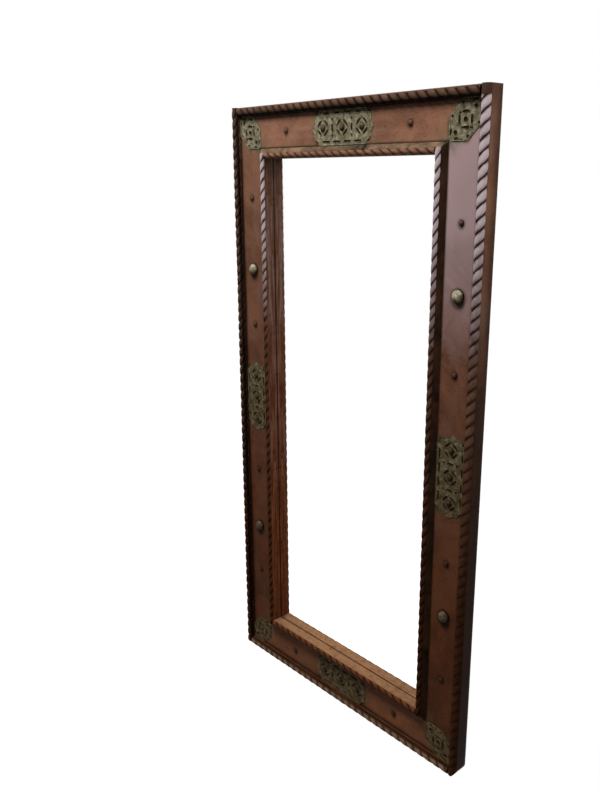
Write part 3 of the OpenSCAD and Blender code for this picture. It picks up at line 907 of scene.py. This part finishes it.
@dataclass
class RopeSet:
    """The eight rope mouldings: four round the outer edge and four round the glass."""

    sizes: FrameSizes
    finish: RopeFinish
    # darker copy for the top and left outer ropes, partly dirt and partly painted shade; lighter copy for the
    # bottom outer rope, painted light from above
    dark_finish: RopeFinish
    pale_finish: RopeFinish
    upright_finishes: tuple[RopeFinish, ...]
    outer_r: float = 12.2 * MM
    outer_pitch: float = 28.3 * MM
    outer_groove: float = 3.6 * MM
    inner_r: float = 7.75 * MM
    inner_pitch: float = 28.5 * MM
    inner_groove: float = 2.4 * MM
    margin: float = 0.4 * MM
    gap: float = 0.3 * MM
    foot_trim: float = 0.84
    plain_end: float = 27 * MM
    low_wear: float = 0.6
    inner_points: int = 40

    def foot_start(self) -> float:
        """Finds where the upright outer ropes begin.

        Returns:
            The height above the frame's bottom.
        """
        depth = self.foot_trim * self.outer_r
        r = self.sizes.foot_r
        return r - math.sqrt(r * r - (r - depth) ** 2)

    def build(self) -> None:
        """Builds all the ropes."""
        size = self.sizes
        finishes = dict.fromkeys(("top_inner_rope", "bottom_inner_rope"), [self.finish.material()])
        finishes |= dict.fromkeys(("bottom_outer_rope",), [self.pale_finish.material()])
        finishes |= dict.fromkeys(("top_outer_rope", "left_outer_rope"), [self.dark_finish.material()])
        bright, polished, satin, dull, worn = (finish.material() for finish in self.upright_finishes)
        finishes["right_inner_rope"] = [polished, satin, dull]
        finishes["right_outer_rope"] = [bright, satin, worn]
        finishes["left_inner_rope"] = [satin, satin, dull]
        low = self.foot_start()
        half_w, half_h = size.width / 2, size.height / 2
        ropes = []
        for sign, label in ((-1, "left"), (1, "right")):
            ropes.append(RopeMoulding(
                f"{label}_outer_rope", self.outer_r, self.outer_pitch, self.outer_groove,
                Vector((sign * (half_w - self.outer_r), -size.rim_h, low - half_h)), size.height - low,
                False, dark_side=-sign, dark_from=0.5, foot_side=sign, foot_z=low,
                plain_end=self.plain_end if sign > 0 else 0, low_wear=self.low_wear if sign > 0 else 0))
            span = size.height - 2 * (size.seat_start + self.margin)
            ropes.append(RopeMoulding(
                f"{label}_inner_rope", self.inner_r, self.inner_pitch, self.inner_groove,
                Vector((sign * (half_w - size.seat_mid), -size.lip_h, -span / 2)), span, False,
                ring_points=self.inner_points))
        for sign, label in ((-1, "bottom"), (1, "top")):
            span = size.width - 4 * self.outer_r - 2 * self.gap
            ropes.append(RopeMoulding(
                f"{label}_outer_rope", self.outer_r, self.outer_pitch, self.outer_groove,
                Vector((-span / 2, -size.rim_h, sign * (half_h - self.outer_r))), span, True,
                dark_side=sign, dark_from=0.45 if sign > 0 else 0.5))
            span = size.width - 2 * (size.seat_start + self.margin + 2 * self.inner_r + self.gap)
            ropes.append(RopeMoulding(
                f"{label}_inner_rope", self.inner_r, self.inner_pitch, self.inner_groove,
                Vector((-span / 2, -size.lip_h, sign * (half_h - size.seat_mid))), span, True,
                ring_points=self.inner_points))
        for rope in ropes:
            rope.build(finishes[rope.name])


@dataclass
class CopperCladding:
    """The four folded face sheets, dented, stained and given painted shade, with rolled folds."""

    sizes: FrameSizes
    plan: FixingPlan
    finish: CopperSheetFinish
    # lighter copy of the sheet finish for the top rail: partly its own tone, partly painted sheen
    top_finish: CopperSheetFinish
    bottom_finish: CopperSheetFinish
    # finish of the right sheet, which carries the painted sheen
    right_finish: CopperSheetFinish
    sheet: float = 0.5 * MM
    fold_r: float = 1.2 * MM
    fold_steps: int = 4
    wall_steps: int = 8
    wall_gap: float = 0.2 * MM
    spacing: float = 5 * MM
    end_zone: float = 36 * MM
    joint_gap: float = 0.12 * MM
    dent: float = 0.34 * MM
    ripple: float = 0.12 * MM
    lap_place: float = -165 * MM
    lap_rise: float = 0.6 * MM
    end_steps: int = 14
    # reach of the painted shadow round each stud
    drip_reach: float = 60 * MM
    mount_half_h: float = 40 * MM
    mount_half_w: float = 98 * MM
    mount_point: float = 124 * MM
    corner_half_w: float = 34 * MM
    corner_half_h: float = 58 * MM
    corner_point: float = 66 * MM
    # painted shade on the side wall, darker low down and near the top corner on the right, and in the fold at
    # the foot of the rim
    wall_grime: tuple[float, float] = (0.14, 0.44)
    wall_top: float = 0.88
    fold_grime: float = 0.8
    dent_fade: float = 6 * MM
    wall_dent: float = 0.8
    rim_shares: tuple[float, ...] = (0.3, 0.5, 0.7)
    lip_in: float = 0.2 * MM
    lip_drop: float = 0.25 * MM
    # painted shadow of the outer rope on the field below the rim, shorter on the top side
    rim_reach: float = 10 * MM
    top_rim_reach: float = 4 * MM
    rim_grime: float = 1.5 * MM
    # painted shade along the field's inner seam
    edge_grime_band: tuple[float, float] = (1.2 * MM, 4 * MM)
    # painted shade under the mounts and a softer one just round them
    mount_grime: tuple[float, float] = (-3 * MM, 1.5 * MM)
    mount_haze: tuple[float, float] = (0, 6 * MM)
    mount_green: tuple[float, float] = (0, 16 * MM)
    sight_green: tuple[float, float] = (4 * MM, 60 * MM)
    top_green: tuple[float, float] = (1 * MM, 12 * MM)

    def profile(self) -> list[tuple[float, float]]:
        """Outer surface of the folded sheet across a side.

        Returns:
            Points from the wall round the rim to the end of the field: in from the outer edge, and height.
        """
        size, r = self.sizes, self.fold_r

        def arc(in_mid: float, h_mid: float, start: float, end: float) -> list[tuple[float, float]]:
            """Points of a fold, by angles in degrees from the inward direction."""
            turns = [math.radians(start + (end - start) * n / self.fold_steps)
                     for n in range(self.fold_steps + 1)]
            return [(in_mid + r * math.cos(turn), h_mid + r * math.sin(turn)) for turn in turns]

        wall = [(0.0, size.rim_h * n / self.wall_steps + self.wall_gap) for n in range(self.wall_steps)]
        rim = [(size.rim_w * share, size.rim_h) for share in self.rim_shares]
        field_start = size.rim_w + r
        steps = round((size.field_end - field_start) / self.spacing)
        flat = [(field_start + (size.field_end - field_start - 0.8 * MM) * n / steps, size.field_h)
                for n in range(1, steps + 1)]
        return [
            *wall, *arc(r, size.rim_h - r, 180, 90), *rim, *arc(size.rim_w - r, size.rim_h - r, 90, 0),
            *arc(size.rim_w + r, size.field_h + r, 180, 270), *flat,
            (size.field_end - self.lip_in, size.field_h - self.lip_drop)]

    def stations(self, half: float) -> list[float]:
        """Places of the cross-sections along a side, closer together at its ends.

        Args:
            half: half the side's length.

        Returns:
            The places, as shares of the half length from -1 to 1.
        """
        inner = half - self.end_zone
        steps = round(inner / self.spacing)
        places = [inner * n / steps for n in range(steps)]
        places += [inner + self.end_zone * n / self.end_steps for n in range(self.end_steps + 1)]
        return [-place / half for place in reversed(places[1:])] + [place / half for place in places]

    def rounded(self, side: Side, along: float, inward: float) -> tuple[float, float]:
        """Moves a point of a bottom corner onto the frame's rounded outline.

        Args:
            side: the side that the point is on.
            along: place along the side.
            inward: distance in from the outer edge.

        Returns:
            The point's new place along and distance in.
        """
        if side is Side.TOP or (side is Side.LEFT and along < 0) or (side is Side.RIGHT and along > 0):
            return along, inward
        r = self.sizes.foot_r
        inner = self.sizes.length(side) / 2 - r
        u, v = abs(along) - inner, r - inward
        if u <= 0 or v <= 0:
            return along, inward
        share = max(u, v) / math.hypot(u, v)
        return math.copysign(inner + u * share, along), r - v * share

    def under_mount(self, side: Side, along: float, inward: float) -> float:
        """Measures how deep a point of the field lies under a mount.

        Args:
            side: the side that the point is on.
            along: place along the side.
            inward: distance in from the outer edge.

        Returns:
            The depth, or minus the distance where the point lies beside the mounts.
        """
        middle = side.sign * self.plan.mount_places[side]
        dx, dz = abs(along - middle), abs(inward - self.sizes.field_mid)
        best = min(self.mount_half_h - dz, self.mount_half_w - dx, self.mount_point - dx - 0.6 * dz)
        off = self.sizes.length(side) / 2 - abs(along)
        u = abs((off + inward) / math.sqrt(2) - self.sizes.field_mid * math.sqrt(2))
        v = abs(off - inward) / math.sqrt(2)
        return max(best, min(self.corner_half_w - v, self.corner_half_h - u, self.corner_point - u - v))

    def stains(self, side: Side, along: float, inward: float, place: Vector) -> tuple[float, float]:
        """Painted shade and green stains at a point of the field.

        Args:
            side: the side that the point is on.
            along: place along the side.
            inward: distance in from the outer edge.
            place: the point in the frame.

        Returns:
            Shares of painted shade and of green.
        """
        size = self.sizes
        under = self.under_mount(side, along, inward)
        reach = self.top_rim_reach if side is Side.TOP else self.rim_reach
        # painted shadow of the rim and rope on the field
        grime = fade(inward - size.rim_w, self.rim_grime, reach + 3 * MM * wobble(place, 40 * MM, 17))
        # painted shade along the inner seam of the field
        grime = max(grime, 0.85 * fade(size.field_end - inward, *self.edge_grime_band))
        # painted shade under and round the mounts
        grime = max(grime, fade(-under, *self.mount_grime), 0.35 * fade(-under, *self.mount_haze))
        # painted shadow round each stud and dome, reaching further below it
        for kind in (Fixing.STUD, Fixing.DOME):
            head_r = self.plan.head_r[kind]
            for spot, _ in self.plan.spots(side, kind, size):
                if abs(along - spot) < self.drip_reach:
                    away = place - size.place(side) @ Vector((spot, -size.field_h, size.field_mid))
                    stud_shadow = math.hypot(away.x, away.z * (1 if away.z > 0 else 0.8) + 0.2 * head_r)
                    grime = max(grime, 0.8 * fade(stud_shadow - head_r, 0, 0.35 * head_r + 3.5 * MM))
        off = size.length(side) / 2 - abs(along)
        sight = math.hypot(max(0.0, off - size.field_end + 6 * MM), size.field_end - inward)
        cloudy = 0.5 + 0.8 * wobble(place, 30 * MM, 11)
        green = fade(sight, *self.sight_green) * cloudy
        green = max(green, fade(-under, *self.mount_green) * cloudy)
        if side is Side.TOP:
            green = max(green, 0.8 * fade(size.field_end - inward, *self.top_green) * cloudy)
        return min(1.0, grime), clamp(green)

    def edge_grime(self, side: Side, height: float, place: Vector) -> float:
        """Painted shade at a point of the side wall or the rim.

        Args:
            side: the side that the point is on.
            height: height above the wall.
            place: the point in the frame.

        Returns:
            The share of painted shade.
        """
        # painted shade: darker towards the back of the wall; on the right also low down and near the top
        # corner
        grime = 0.05 + 0.75 * fade(height, 0, 34 * MM)
        if side is Side.RIGHT:
            cloudy = 0.06 * wobble(place, 90 * MM, 21)
            grime = max(grime, 0.85 * fade(place.z + cloudy, *self.wall_grime),
                        0.5 * fade(self.wall_top - place.z, 0.01, 0.09))
        return grime

    def build_side(self, side: Side, material: Material) -> None:
        """Folds, dents and stains one sheet.

        Args:
            side: the side that it covers.
            material: its finish.
        """
        size = self.sizes
        half = size.length(side) / 2
        profile, stations = self.profile(), self.stations(half)
        matrix = size.place(side)
        mesh = bmesh.new()
        rows, columns = len(profile) - 1, len(stations) - 1
        bmesh.ops.create_grid(mesh, x_segments=columns, y_segments=rows, size=1)
        dirt_and_shade_layer = mesh.verts.layers.float.new("grime")
        green_layer = mesh.verts.layers.float.new("green")
        for point in mesh.verts:
            share = stations[round((point.co.x + 1) / 2 * columns)]
            inward, height = profile[round((point.co.y + 1) / 2 * rows)]
            along, inward_now = self.rounded(side, share * (half - inward - self.joint_gap), inward)
            place = matrix @ Vector((along, -height, inward_now))
            dent = self.dent * wobble(place, 75 * MM, 1) + self.ripple * wobble(place, 18 * MM, 5)
            on_field = inward > size.rim_w + 2 * self.fold_r
            if on_field:
                edge = min(1.0, (size.field_end - inward) / self.dent_fade)
                height += dent * edge
                if side is Side.TOP and place.x < self.lap_place:
                    height += self.lap_rise
            elif height < size.rim_h - 2 * self.fold_r and inward < 1 * MM:
                inward_now += abs(dent) * self.wall_dent
            point.co = matrix @ Vector((along, -height, inward_now))
            # the mesh carries the painted shade and the green stains as point values
            if inward > size.rim_w:
                point[dirt_and_shade_layer], point[green_layer] = self.stains(side, along, inward, place)
            # painted shade in the fold at the foot of the rim
            elif inward > size.rim_w - 2 * self.fold_r:
                point[dirt_and_shade_layer] = self.fold_grime
            else:
                point[dirt_and_shade_layer] = self.edge_grime(side, height, place)
        bmesh.ops.recalc_face_normals(mesh, faces=mesh.faces[:])
        if self.points_inwards(mesh):
            bmesh.ops.reverse_faces(mesh, faces=mesh.faces[:])
        piece = finish_piece(mesh, f"{side.label}_copper_sheet", material,
                             [f"{side.label}_face_sheet"], sharp=60)
        wall = piece.modifiers.new("thickness", "SOLIDIFY")
        wall.thickness = self.sheet
        wall.offset = -1

    @staticmethod
    def points_inwards(mesh: BMesh) -> bool:
        """True if the largest faces of a sheet look at the wall."""
        return sum(face.normal.y * face.calc_area() for face in mesh.faces) > 0

    def build(self) -> None:
        """Builds the four sheets."""
        upright = self.finish.material()
        materials = {Side.BOTTOM: self.bottom_finish.material(), Side.TOP: self.top_finish.material(),
                     Side.RIGHT: self.right_finish.material()}
        for side in Side:
            self.build_side(side, materials.get(side, upright))


@dataclass
class PiercedMounts:
    """The eight pierced mounts: a raised border round their outline and round every piercing."""

    finish: VerdigrisFinish
    bottom_finish: VerdigrisFinish
    plate: float = 1.5 * MM
    border: float = 0.9 * MM
    slope: float = 0.4 * MM
    sink: float = 0.65 * MM
    widening: float = 0.5 * MM

    @staticmethod
    def loops(edges: Sequence[BMEdge]) -> list[set[BMVert]]:
        """Groups edges that hang together.

        Args:
            edges: the edges.

        Returns:
            The points of each group.
        """
        waiting = set(edges)
        groups = []
        while waiting:
            group, ready = set(), [waiting.pop()]
            while ready:
                for point in ready.pop().verts:
                    group.add(point)
                    linked = waiting.intersection(point.link_edges)
                    waiting -= linked
                    ready.extend(linked)
            groups.append(group)
        return groups

    def pierced_level(self, mesh: BMesh, level: float
                      ) -> tuple[list[BMFace], set[BMVert]]:
        """Finds one face of the plate and the rims of its piercings.

        Args:
            mesh: the plate.
            level: where the face lies on the Y axis.

        Returns:
            The face's polygons, and the points of all its rims but the outer one.
        """
        faces = {face for face in mesh.faces if abs(face.normal.y) > 0.99 and
                 all(abs(point.co.y - level) < TINY for point in face.verts)}
        rims = self.loops([edge for edge in mesh.edges if len(faces.intersection(edge.link_faces)) == 1])
        rims.sort(key=lambda rim: max(point.co.x + point.co.z for point in rim)
                  - min(point.co.x + point.co.z for point in rim))
        return list(faces), set().union(*rims[:-1])

    def widen(self, points: set[BMVert]) -> None:
        """Widens the piercings, whose walls look into them.

        Args:
            points: points of their rims.
        """
        shifts = {}
        for point in points:
            out = sum((face.normal for face in point.link_faces if abs(face.normal.y) < 0.5), Vector())
            if out.length > 0.1:
                shifts[point] = out.normalized() * self.widening
        for point, shift in shifts.items():
            point.co -= shift

    def build_one(self, node: str, material: Material) -> None:
        """Works the relief into a copy of one plate.

        Args:
            node: the CAD node of the plate.
            material: its finish.
        """
        mesh = bmesh.new()
        mesh.from_mesh(NODES[node].data)
        for layer in list(mesh.loops.layers.uv.values()):
            mesh.loops.layers.uv.remove(layer)
        bmesh.ops.remove_doubles(mesh, verts=mesh.verts[:], dist=TINY)
        sunk = mesh.verts.layers.float.new("sunk")
        hole = mesh.verts.layers.float.new("hole")
        front = min(point.co.y for point in mesh.verts)
        faces, pierced = self.pierced_level(mesh, front)
        self.widen(pierced)
        places = {tuple(round(value, 6) for value in point.co) for point in pierced}
        self.widen(self.pierced_level(mesh, front + self.plate)[1])
        bmesh.ops.inset_region(mesh, faces=faces, thickness=self.border, use_boundary=True,
                               use_even_offset=True)
        bmesh.ops.inset_region(mesh, faces=faces, thickness=self.slope, depth=-self.sink, use_boundary=True,
                               use_even_offset=True)
        for point in {point for face in faces for point in face.verts}:
            point[sunk] = 1.0
        for point in mesh.verts:
            point[hole] = float(tuple(round(value, 6) for value in point.co) in places)
        finish_piece(mesh, f"{node}_relief", material, [node], sharp=35)

    def build(self) -> None:
        """Builds all the mounts."""
        material, bottom = self.finish.material(), self.bottom_finish.material()
        names = [f"{side.label}_mount" for side in Side]
        names += [f"{row}_{column}_corner_mount" for row in ("top", "bottom")
                  for column in ("left", "right")]
        for name in names:
            self.build_one(name, bottom if name.startswith("bottom") else material)


@dataclass
class StudProfile:
    """Sizes of one kind of nail or stud."""

    kind: Fixing
    radius: float
    height: float
    flange: float
    lip: float
    shank_r: float
    shank_len: float
    seat: float
    uneven: float
    segments: int
    rings: int = 10

    def outline(self) -> list[tuple[float, float]]:
        """Half section from the middle of the head round the flange to the end of the shank.

        Returns:
            Points, each a distance from the axis and a height above the field.
        """
        dome_r = self.radius - self.flange
        rise = self.height - self.lip
        ball = (dome_r * dome_r + rise * rise) / (2 * rise)
        turn = math.atan2(dome_r, ball - rise)
        turns = [turn * n / self.rings for n in range(self.rings + 1)]
        points = [(ball * math.sin(angle), self.height - ball + ball * math.cos(angle)) for angle in turns]
        rim = [(self.radius - 0.25 * self.lip, self.lip), (self.radius, 0.55 * self.lip),
               (self.radius, 0.0)]
        shank = [(self.shank_r, 0.0), (self.shank_r, -self.shank_len),
                 (0.0, -self.shank_len - self.shank_r)]
        return [(r, h + self.seat) for r, h in points + rim + shank]


@dataclass
class StudsAndNails:
    """All the heads on the face: large domes, small studs, and the nails that hold the mounts."""

    sizes: FrameSizes
    plan: FixingPlan
    brass: StudFinish
    copper: StudFinish
    # height shares over which the painted shade at a head's foot fades
    foot_band: tuple[float, float] = (0.1, 0.45)
    shade_band: tuple[float, float] = (-0.9, -0.3)
    dome_shade: float = 0.85
    head_shade: float = 0.4
    nail_brass: StudFinish = StudFinish("nail_brass", (98, 80, 62), (68, 53, 42), specular=0.02)

    def head(self, profile: StudProfile, matrix: Matrix) -> Mesh:
        """Spins one head with its shank and puts it in place.

        Args:
            profile: its sizes.
            matrix: place of its foot on the field, with Z pointing out of the face.

        Returns:
            The finished head.
        """
        mesh = bmesh.new()
        foot = mesh.verts.layers.float.new("foot")
        chain = [mesh.verts.new((r, 0, h)) for r, h in profile.outline()]
        edges = [mesh.edges.new(pair) for pair in zip(chain, chain[1:])]
        bmesh.ops.spin(mesh, geom=chain + edges, cent=(0, 0, 0), axis=(0, 0, 1), angle=2 * math.pi,
                       dvec=(0, 0, 0), steps=profile.segments, use_merge=True)
        bmesh.ops.remove_doubles(mesh, verts=mesh.verts[:], dist=TINY)
        centre = matrix.translation
        for point in mesh.verts:
            height = point.co.z - profile.seat
            below = (matrix @ point.co - centre).z / profile.radius
            shade = self.dome_shade if profile.kind is Fixing.DOME else self.head_shade
            near, far = (share * profile.height for share in self.foot_band)
            # the foot value is painted shade at the foot and on the lower side of each head
            point[foot] = max(fade(height, near, far), shade * fade(below, *self.shade_band))
            if height > profile.lip:
                push = profile.uneven * wobble(point.co + centre, 0.6 * profile.radius, 9)
                point.co.x *= 1 + push
                point.co.y *= 1 + push
        mesh.transform(matrix)
        data = bpy.data.meshes.new("head")
        mesh.to_mesh(data)
        mesh.free()
        return data

    def build_kinds(self, name: str, node: str, finish: StudFinish,
                    profiles: Sequence[StudProfile]) -> None:
        """Builds the heads that one CAD node holds.

        Args:
            name: name of the new piece.
            node: the CAD node that they replace.
            finish: their finish.
            profiles: the kinds of head.
        """
        mesh = bmesh.new()
        out = Matrix.Rotation(math.pi / 2, 4, "X")
        for profile in profiles:
            for side in Side:
                for along, inward in self.plan.spots(side, profile.kind, self.sizes):
                    spot = Matrix.Translation((along, -self.sizes.field_h, inward))
                    head = self.head(profile, self.sizes.place(side) @ spot @ out)
                    mesh.from_mesh(head)
                    bpy.data.meshes.remove(head)
        bmesh.ops.recalc_face_normals(mesh, faces=mesh.faces[:])
        finish_piece(mesh, name, finish.material(), [node], sharp=60)

    def build(self) -> None:
        """Builds all the heads."""
        plate = self.sizes.mount_t
        dome, stud, nail, brad = (
            StudProfile(kind, self.plan.head_r[kind], *(length * MM for length in lengths), *others)
            for kind, lengths, others in (
                (Fixing.DOME, (14, 1.3, 1.1, 2.5, 17), (0, 0.03, 40)),
                (Fixing.STUD, (5.5, 0.7, 0.6, 1.5, 11), (0, 0.05, 28)),
                (Fixing.NAIL, (6, 1.0, 0.8, 1.5, 13), (plate, 0.04, 32)),
                (Fixing.BRAD, (2.4, 0.3, 0.4, 1, 11), (plate, 0.04, 20))))
        self.build_kinds("dome_studs_beaten", "dome_studs", self.brass, [dome])
        self.build_kinds("small_studs_beaten", "small_studs", self.copper, [stud])
        self.build_kinds("mount_nails_beaten", "mount_nails", self.nail_brass, [nail, brad])


@dataclass
class Carcase:
    """The frame's wood, the glass and the fittings on the back, which keep their CAD shapes."""

    def build(self) -> None:
        """Gives every CAD node that is left showing its finish."""
        # painted light: the liner colours differ by side as the light falls, lighter on the up-facing top
        # bevel and bottom reveal, darker on the side bevels and left reveal; the pale streak colour on the
        # upright reveals is a painted reflection
        for side, colours, others in (
                (Side.LEFT, ((68, 41, 28), (84, 54, 37), (112, 90, 82)),
                 {"green_share": 0.1, "low_tint": (246, 188, 138)}),
                (Side.RIGHT, ((68, 41, 28), (80, 52, 36), (112, 90, 82)), {"green_share": 0.1}),
                (Side.TOP, ((122, 94, 76), (84, 54, 41), (104, 84, 78)), {"grain": (9, 150, 38)}),
                (Side.BOTTOM, ((66, 42, 30), (136, 99, 70), (122, 88, 62)),
                 {"green_share": 0.2, "grain": (5, 110, 38)})):
            liner = LinerFinish(f"{side.label}_liner_copper", *colours, **others)
            dress(liner.material(), [f"{side.label}_liner_sheet"])
        dark, light = (78, 54, 34), (126, 92, 60)
        for name, grain, level in (("oak_level", (7, 120, 120), True), ("oak_upright", (120, 120, 7), False)):
            boards = [f"{side.label}_{part}" for side in Side if side.level is level
                      for part in ("core_board", "sight_moulding")]
            dress(WoodFinish(name, light, dark, grain).material(), boards)
        panel = WoodFinish("plywood_panel", (176, 142, 98), (142, 106, 66), (60, 60, 4), 0.65)
        dress(panel.material(), ["backing_panel", "mitre_splines"])
        dress(MirrorFinish().material(), ["mirror_glass"])
        dress(SteelFinish().material(), ["panel_screws", "left_hanger", "right_hanger", "hanger_screws",
                                         "left_ring", "right_ring"])


# ---- Studio ----


@dataclass(frozen=True)
class Lamp:
    """A soft rectangular lamp that shines at a point."""

    name: str
    place: tuple[float, float, float]
    target: tuple[float, float, float]
    width: float
    height: float
    power: float
    colour: tuple[float, float, float] = (1, 1, 1)
    shines_on: tuple[str, ...] = ()

    def build(self) -> None:
        """Hangs the lamp."""
        data = bpy.data.lights.new(self.name, "AREA")
        data.shape = "RECTANGLE"
        data.size, data.size_y = self.width, self.height
        data.energy = self.power
        data.color = self.colour
        lamp = bpy.data.objects.new(self.name, data)
        lamp.visible_camera = False
        if self.shines_on:
            lit = bpy.data.collections.new(f"{self.name}_lit")
            for piece in bpy.data.objects:
                if any(part in piece.name for part in self.shines_on):
                    lit.objects.link(piece)
            lamp.light_linking.receiver_collection = lit
        bpy.context.scene.collection.objects.link(lamp)
        lamp.location = self.place
        lamp.rotation_euler = (Vector(self.target) - Vector(self.place)).to_track_quat("-Z", "Y").to_euler()


@dataclass
class Studio:
    """Camera, lamps, pale floor and white surroundings."""

    eye: tuple[float, float, float] = (1.5153, -1.5343, 0.7077)
    yaw: float = 0.8450
    pitch: float = -0.27708
    roll: float = 0.0099
    lens: float = 36.228
    floor_z: float = -1.35
    floor_size: float = 40.0
    floor_grey: float = 0.42
    floor_fade: tuple[float, float, float, float] = (1.5, 5, 0.95, 1)
    sensor: float = 36
    ambient: float = 0.055
    lamps: tuple[Lamp, ...] = (
        Lamp("overhead_lamp", (-0.4, -1.2, 2.5), (0, 0, 0.1), 1.1, 0.7, 81),
        Lamp("side_lamp", (1.45, -0.2, 1.0), (0.45, 0, 0.7), 0.25, 0.25, 8.8),
        Lamp("left_lamp", (-1.9, 0.14, 0.2), (-0.45, 0, 0.1), 0.25, 0.25, 22, (1, 1, 1),
             ("left_copper_sheet", "left_outer_rope")),
        Lamp("back_lamp", (-0.2, 1.8, 0.9), (0, 0, 0.1), 1.2, 1.2, 40, (1, 1, 1),
             ("core_board", "backing_panel", "mitre_splines")),
    )

    def camera(self) -> None:
        """Puts the camera where the view was taken from."""
        data = bpy.data.cameras.new("camera")
        data.lens = self.lens
        data.sensor_width = self.sensor
        data.clip_end = 100
        camera = bpy.data.objects.new("camera", data)
        bpy.context.scene.collection.objects.link(camera)
        turn = (Matrix.Rotation(self.yaw, 4, "Z") @ Matrix.Rotation(self.pitch, 4, "X")
                @ Matrix.Rotation(self.roll, 4, "Y") @ Matrix.Rotation(math.pi / 2, 4, "X"))
        camera.matrix_world = Matrix.Translation(self.eye) @ turn
        bpy.context.scene.camera = camera

    @staticmethod
    def seen_white(table: NodeTable) -> NodeSocket:
        """One for rays from the camera, from gloss and from clear glass, which see plain white."""
        ray = table.node("LightPath").outputs
        near = table.math("MAXIMUM", ray["Is Camera Ray"], ray["Is Glossy Ray"])
        return table.math("MAXIMUM", near, ray["Is Transmission Ray"])

    def world(self) -> None:
        """Makes the surroundings white to the eye and dim as a light."""
        world = bpy.data.worlds.new("surroundings")
        bpy.context.scene.world = world
        world.use_nodes = True
        table = NodeTable(world.node_tree)
        dim, full = (table.node("Background", {"Color": (1, 1, 1, 1), "Strength": strength}).outputs[0]
                     for strength in (self.ambient, 1))
        blend = table.node("MixShader", {0: self.seen_white(table), 1: dim, 2: full})
        table.node("OutputWorld", {"Surface": blend.outputs[0]})

    def floor_finish(self) -> Material:
        """Makes the floor's pale finish, which fades into the white surroundings far out.

        Returns:
            The new material.
        """
        material = bpy.data.materials.new("pale_floor")
        material.use_nodes = True
        table = NodeTable(material.node_tree)
        matt = table.node("BsdfDiffuse", {"Color": (self.floor_grey,) * 3 + (1,)})
        place = table.node("TexCoord").outputs["Object"]
        away = table.node("VectorMath", {0: place}, operation="LENGTH").outputs["Value"]
        level = table.span(away, *self.floor_fade)
        glow = table.node("Emission", {"Strength": table.math("MULTIPLY", self.seen_white(table), level)})
        total = table.node("AddShader", {0: matt.outputs[0], 1: glow.outputs[0]})
        table.node("OutputMaterial", {"Surface": total.outputs[0]})
        return material

    def floor(self) -> None:
        """Lays the pale floor, which keeps the object's shadow."""
        mesh = bmesh.new()
        bmesh.ops.create_grid(mesh, x_segments=1, y_segments=1, size=self.floor_size / 2)
        bmesh.ops.translate(mesh, vec=(0, 0, self.floor_z), verts=mesh.verts[:])
        data = bpy.data.meshes.new("floor")
        mesh.to_mesh(data)
        mesh.free()
        floor = bpy.data.objects.new("floor", data)
        bpy.context.scene.collection.objects.link(floor)
        data.materials.append(self.floor_finish())

    def build(self) -> None:
        """Sets up the whole studio."""
        bpy.context.scene.view_settings.view_transform = "Standard"
        self.camera()
        self.world()
        self.floor()
        for lamp in self.lamps:
            lamp.build()


def main() -> None:
    """Builds the dressed mirror and its studio."""
    logging.basicConfig(level=logging.INFO, format="%(name)s: %(message)s")
    sizes, plan = FrameSizes(), FixingPlan()
    bottom_sheet = CopperSheetFinish("bottom_copper_sheet", (150, 104, 79), (116, 79, 60),
                                     low_tint=(255, 234, 208), grain=(9, 26, 26))
    # lighter copy with a paler bloom for the top rail: partly the rail's own tone, partly painted sheen
    lit_top_sheet = CopperSheetFinish("top_copper_sheet", (144, 102, 80), (112, 78, 61), (150, 118, 102),
                                  grain=(7, 40, 40))
    # painted sheen: pale lavender-grey on the upper right field, standing in for a window's reflection
    right_sheen_sheet = CopperSheetFinish("right_copper_sheet", high_bloom=(169, 145, 145))
    CopperCladding(sizes, plan, CopperSheetFinish(), lit_top_sheet, bottom_sheet, right_sheen_sheet).build()
    # darker rope copy: partly dirt, partly painted shade on the top and left outer ropes
    shaded_rope = RopeFinish("dark_rope_copper", (90, 66, 51), (47, 33, 26), (9, 6, 5), specular=0.015)
    # lighter rope copy: painted light on the bottom outer rope's strands, lit from above
    lit_rope = RopeFinish("pale_rope_copper", (150, 122, 99), (88, 64, 49), (38, 26, 18), (248, 236, 224))
    # the pale colour given to each upright rope is a painted highlight on its upper crests
    upright_ropes = tuple(
        RopeFinish(f"{polish}_rope_copper", crest, flank, groove, high_bloom=(186, 170, 174),
                   specular=specular, roughness=roughness)
        for polish, crest, flank, groove, specular, roughness in (
            ("bright", (110, 82, 68), (64, 46, 38), (20, 14, 11), 0.02, (0.5, 0.27)),
            ("polished", (110, 82, 68), (58, 42, 34), (12, 8, 7), 0.02, (0.5, 0.25)),
            ("satin", (106, 77, 62), (58, 42, 34), (17, 11, 8), 0.02, (0.55, 0.36)),
            ("dull", (100, 70, 55), (54, 38, 30), (42, 28, 20), 0.005, (0.6, 0.45)),
            ("worn", (118, 88, 72), (76, 56, 46), (50, 35, 27), 0.005, (0.6, 0.45))))
    RopeSet(sizes, RopeFinish(), shaded_rope, lit_rope, upright_ropes).build()
    PiercedMounts(VerdigrisFinish(), VerdigrisFinish(
        "bottom_patina", (146, 138, 112), (132, 124, 98), (104, 90, 68), low_tint=(255, 240, 222))).build()
    old_brass = StudFinish("old_brass", (188, 178, 150), (122, 110, 84), low_tint=(162, 145, 136))
    stud_copper = StudFinish("stud_copper", (108, 78, 63), (80, 55, 43), specular=0.02)
    StudsAndNails(sizes, plan, old_brass, stud_copper).build()
    Carcase().build()
    Studio().build()


if __name__ == "__main__":
    main()
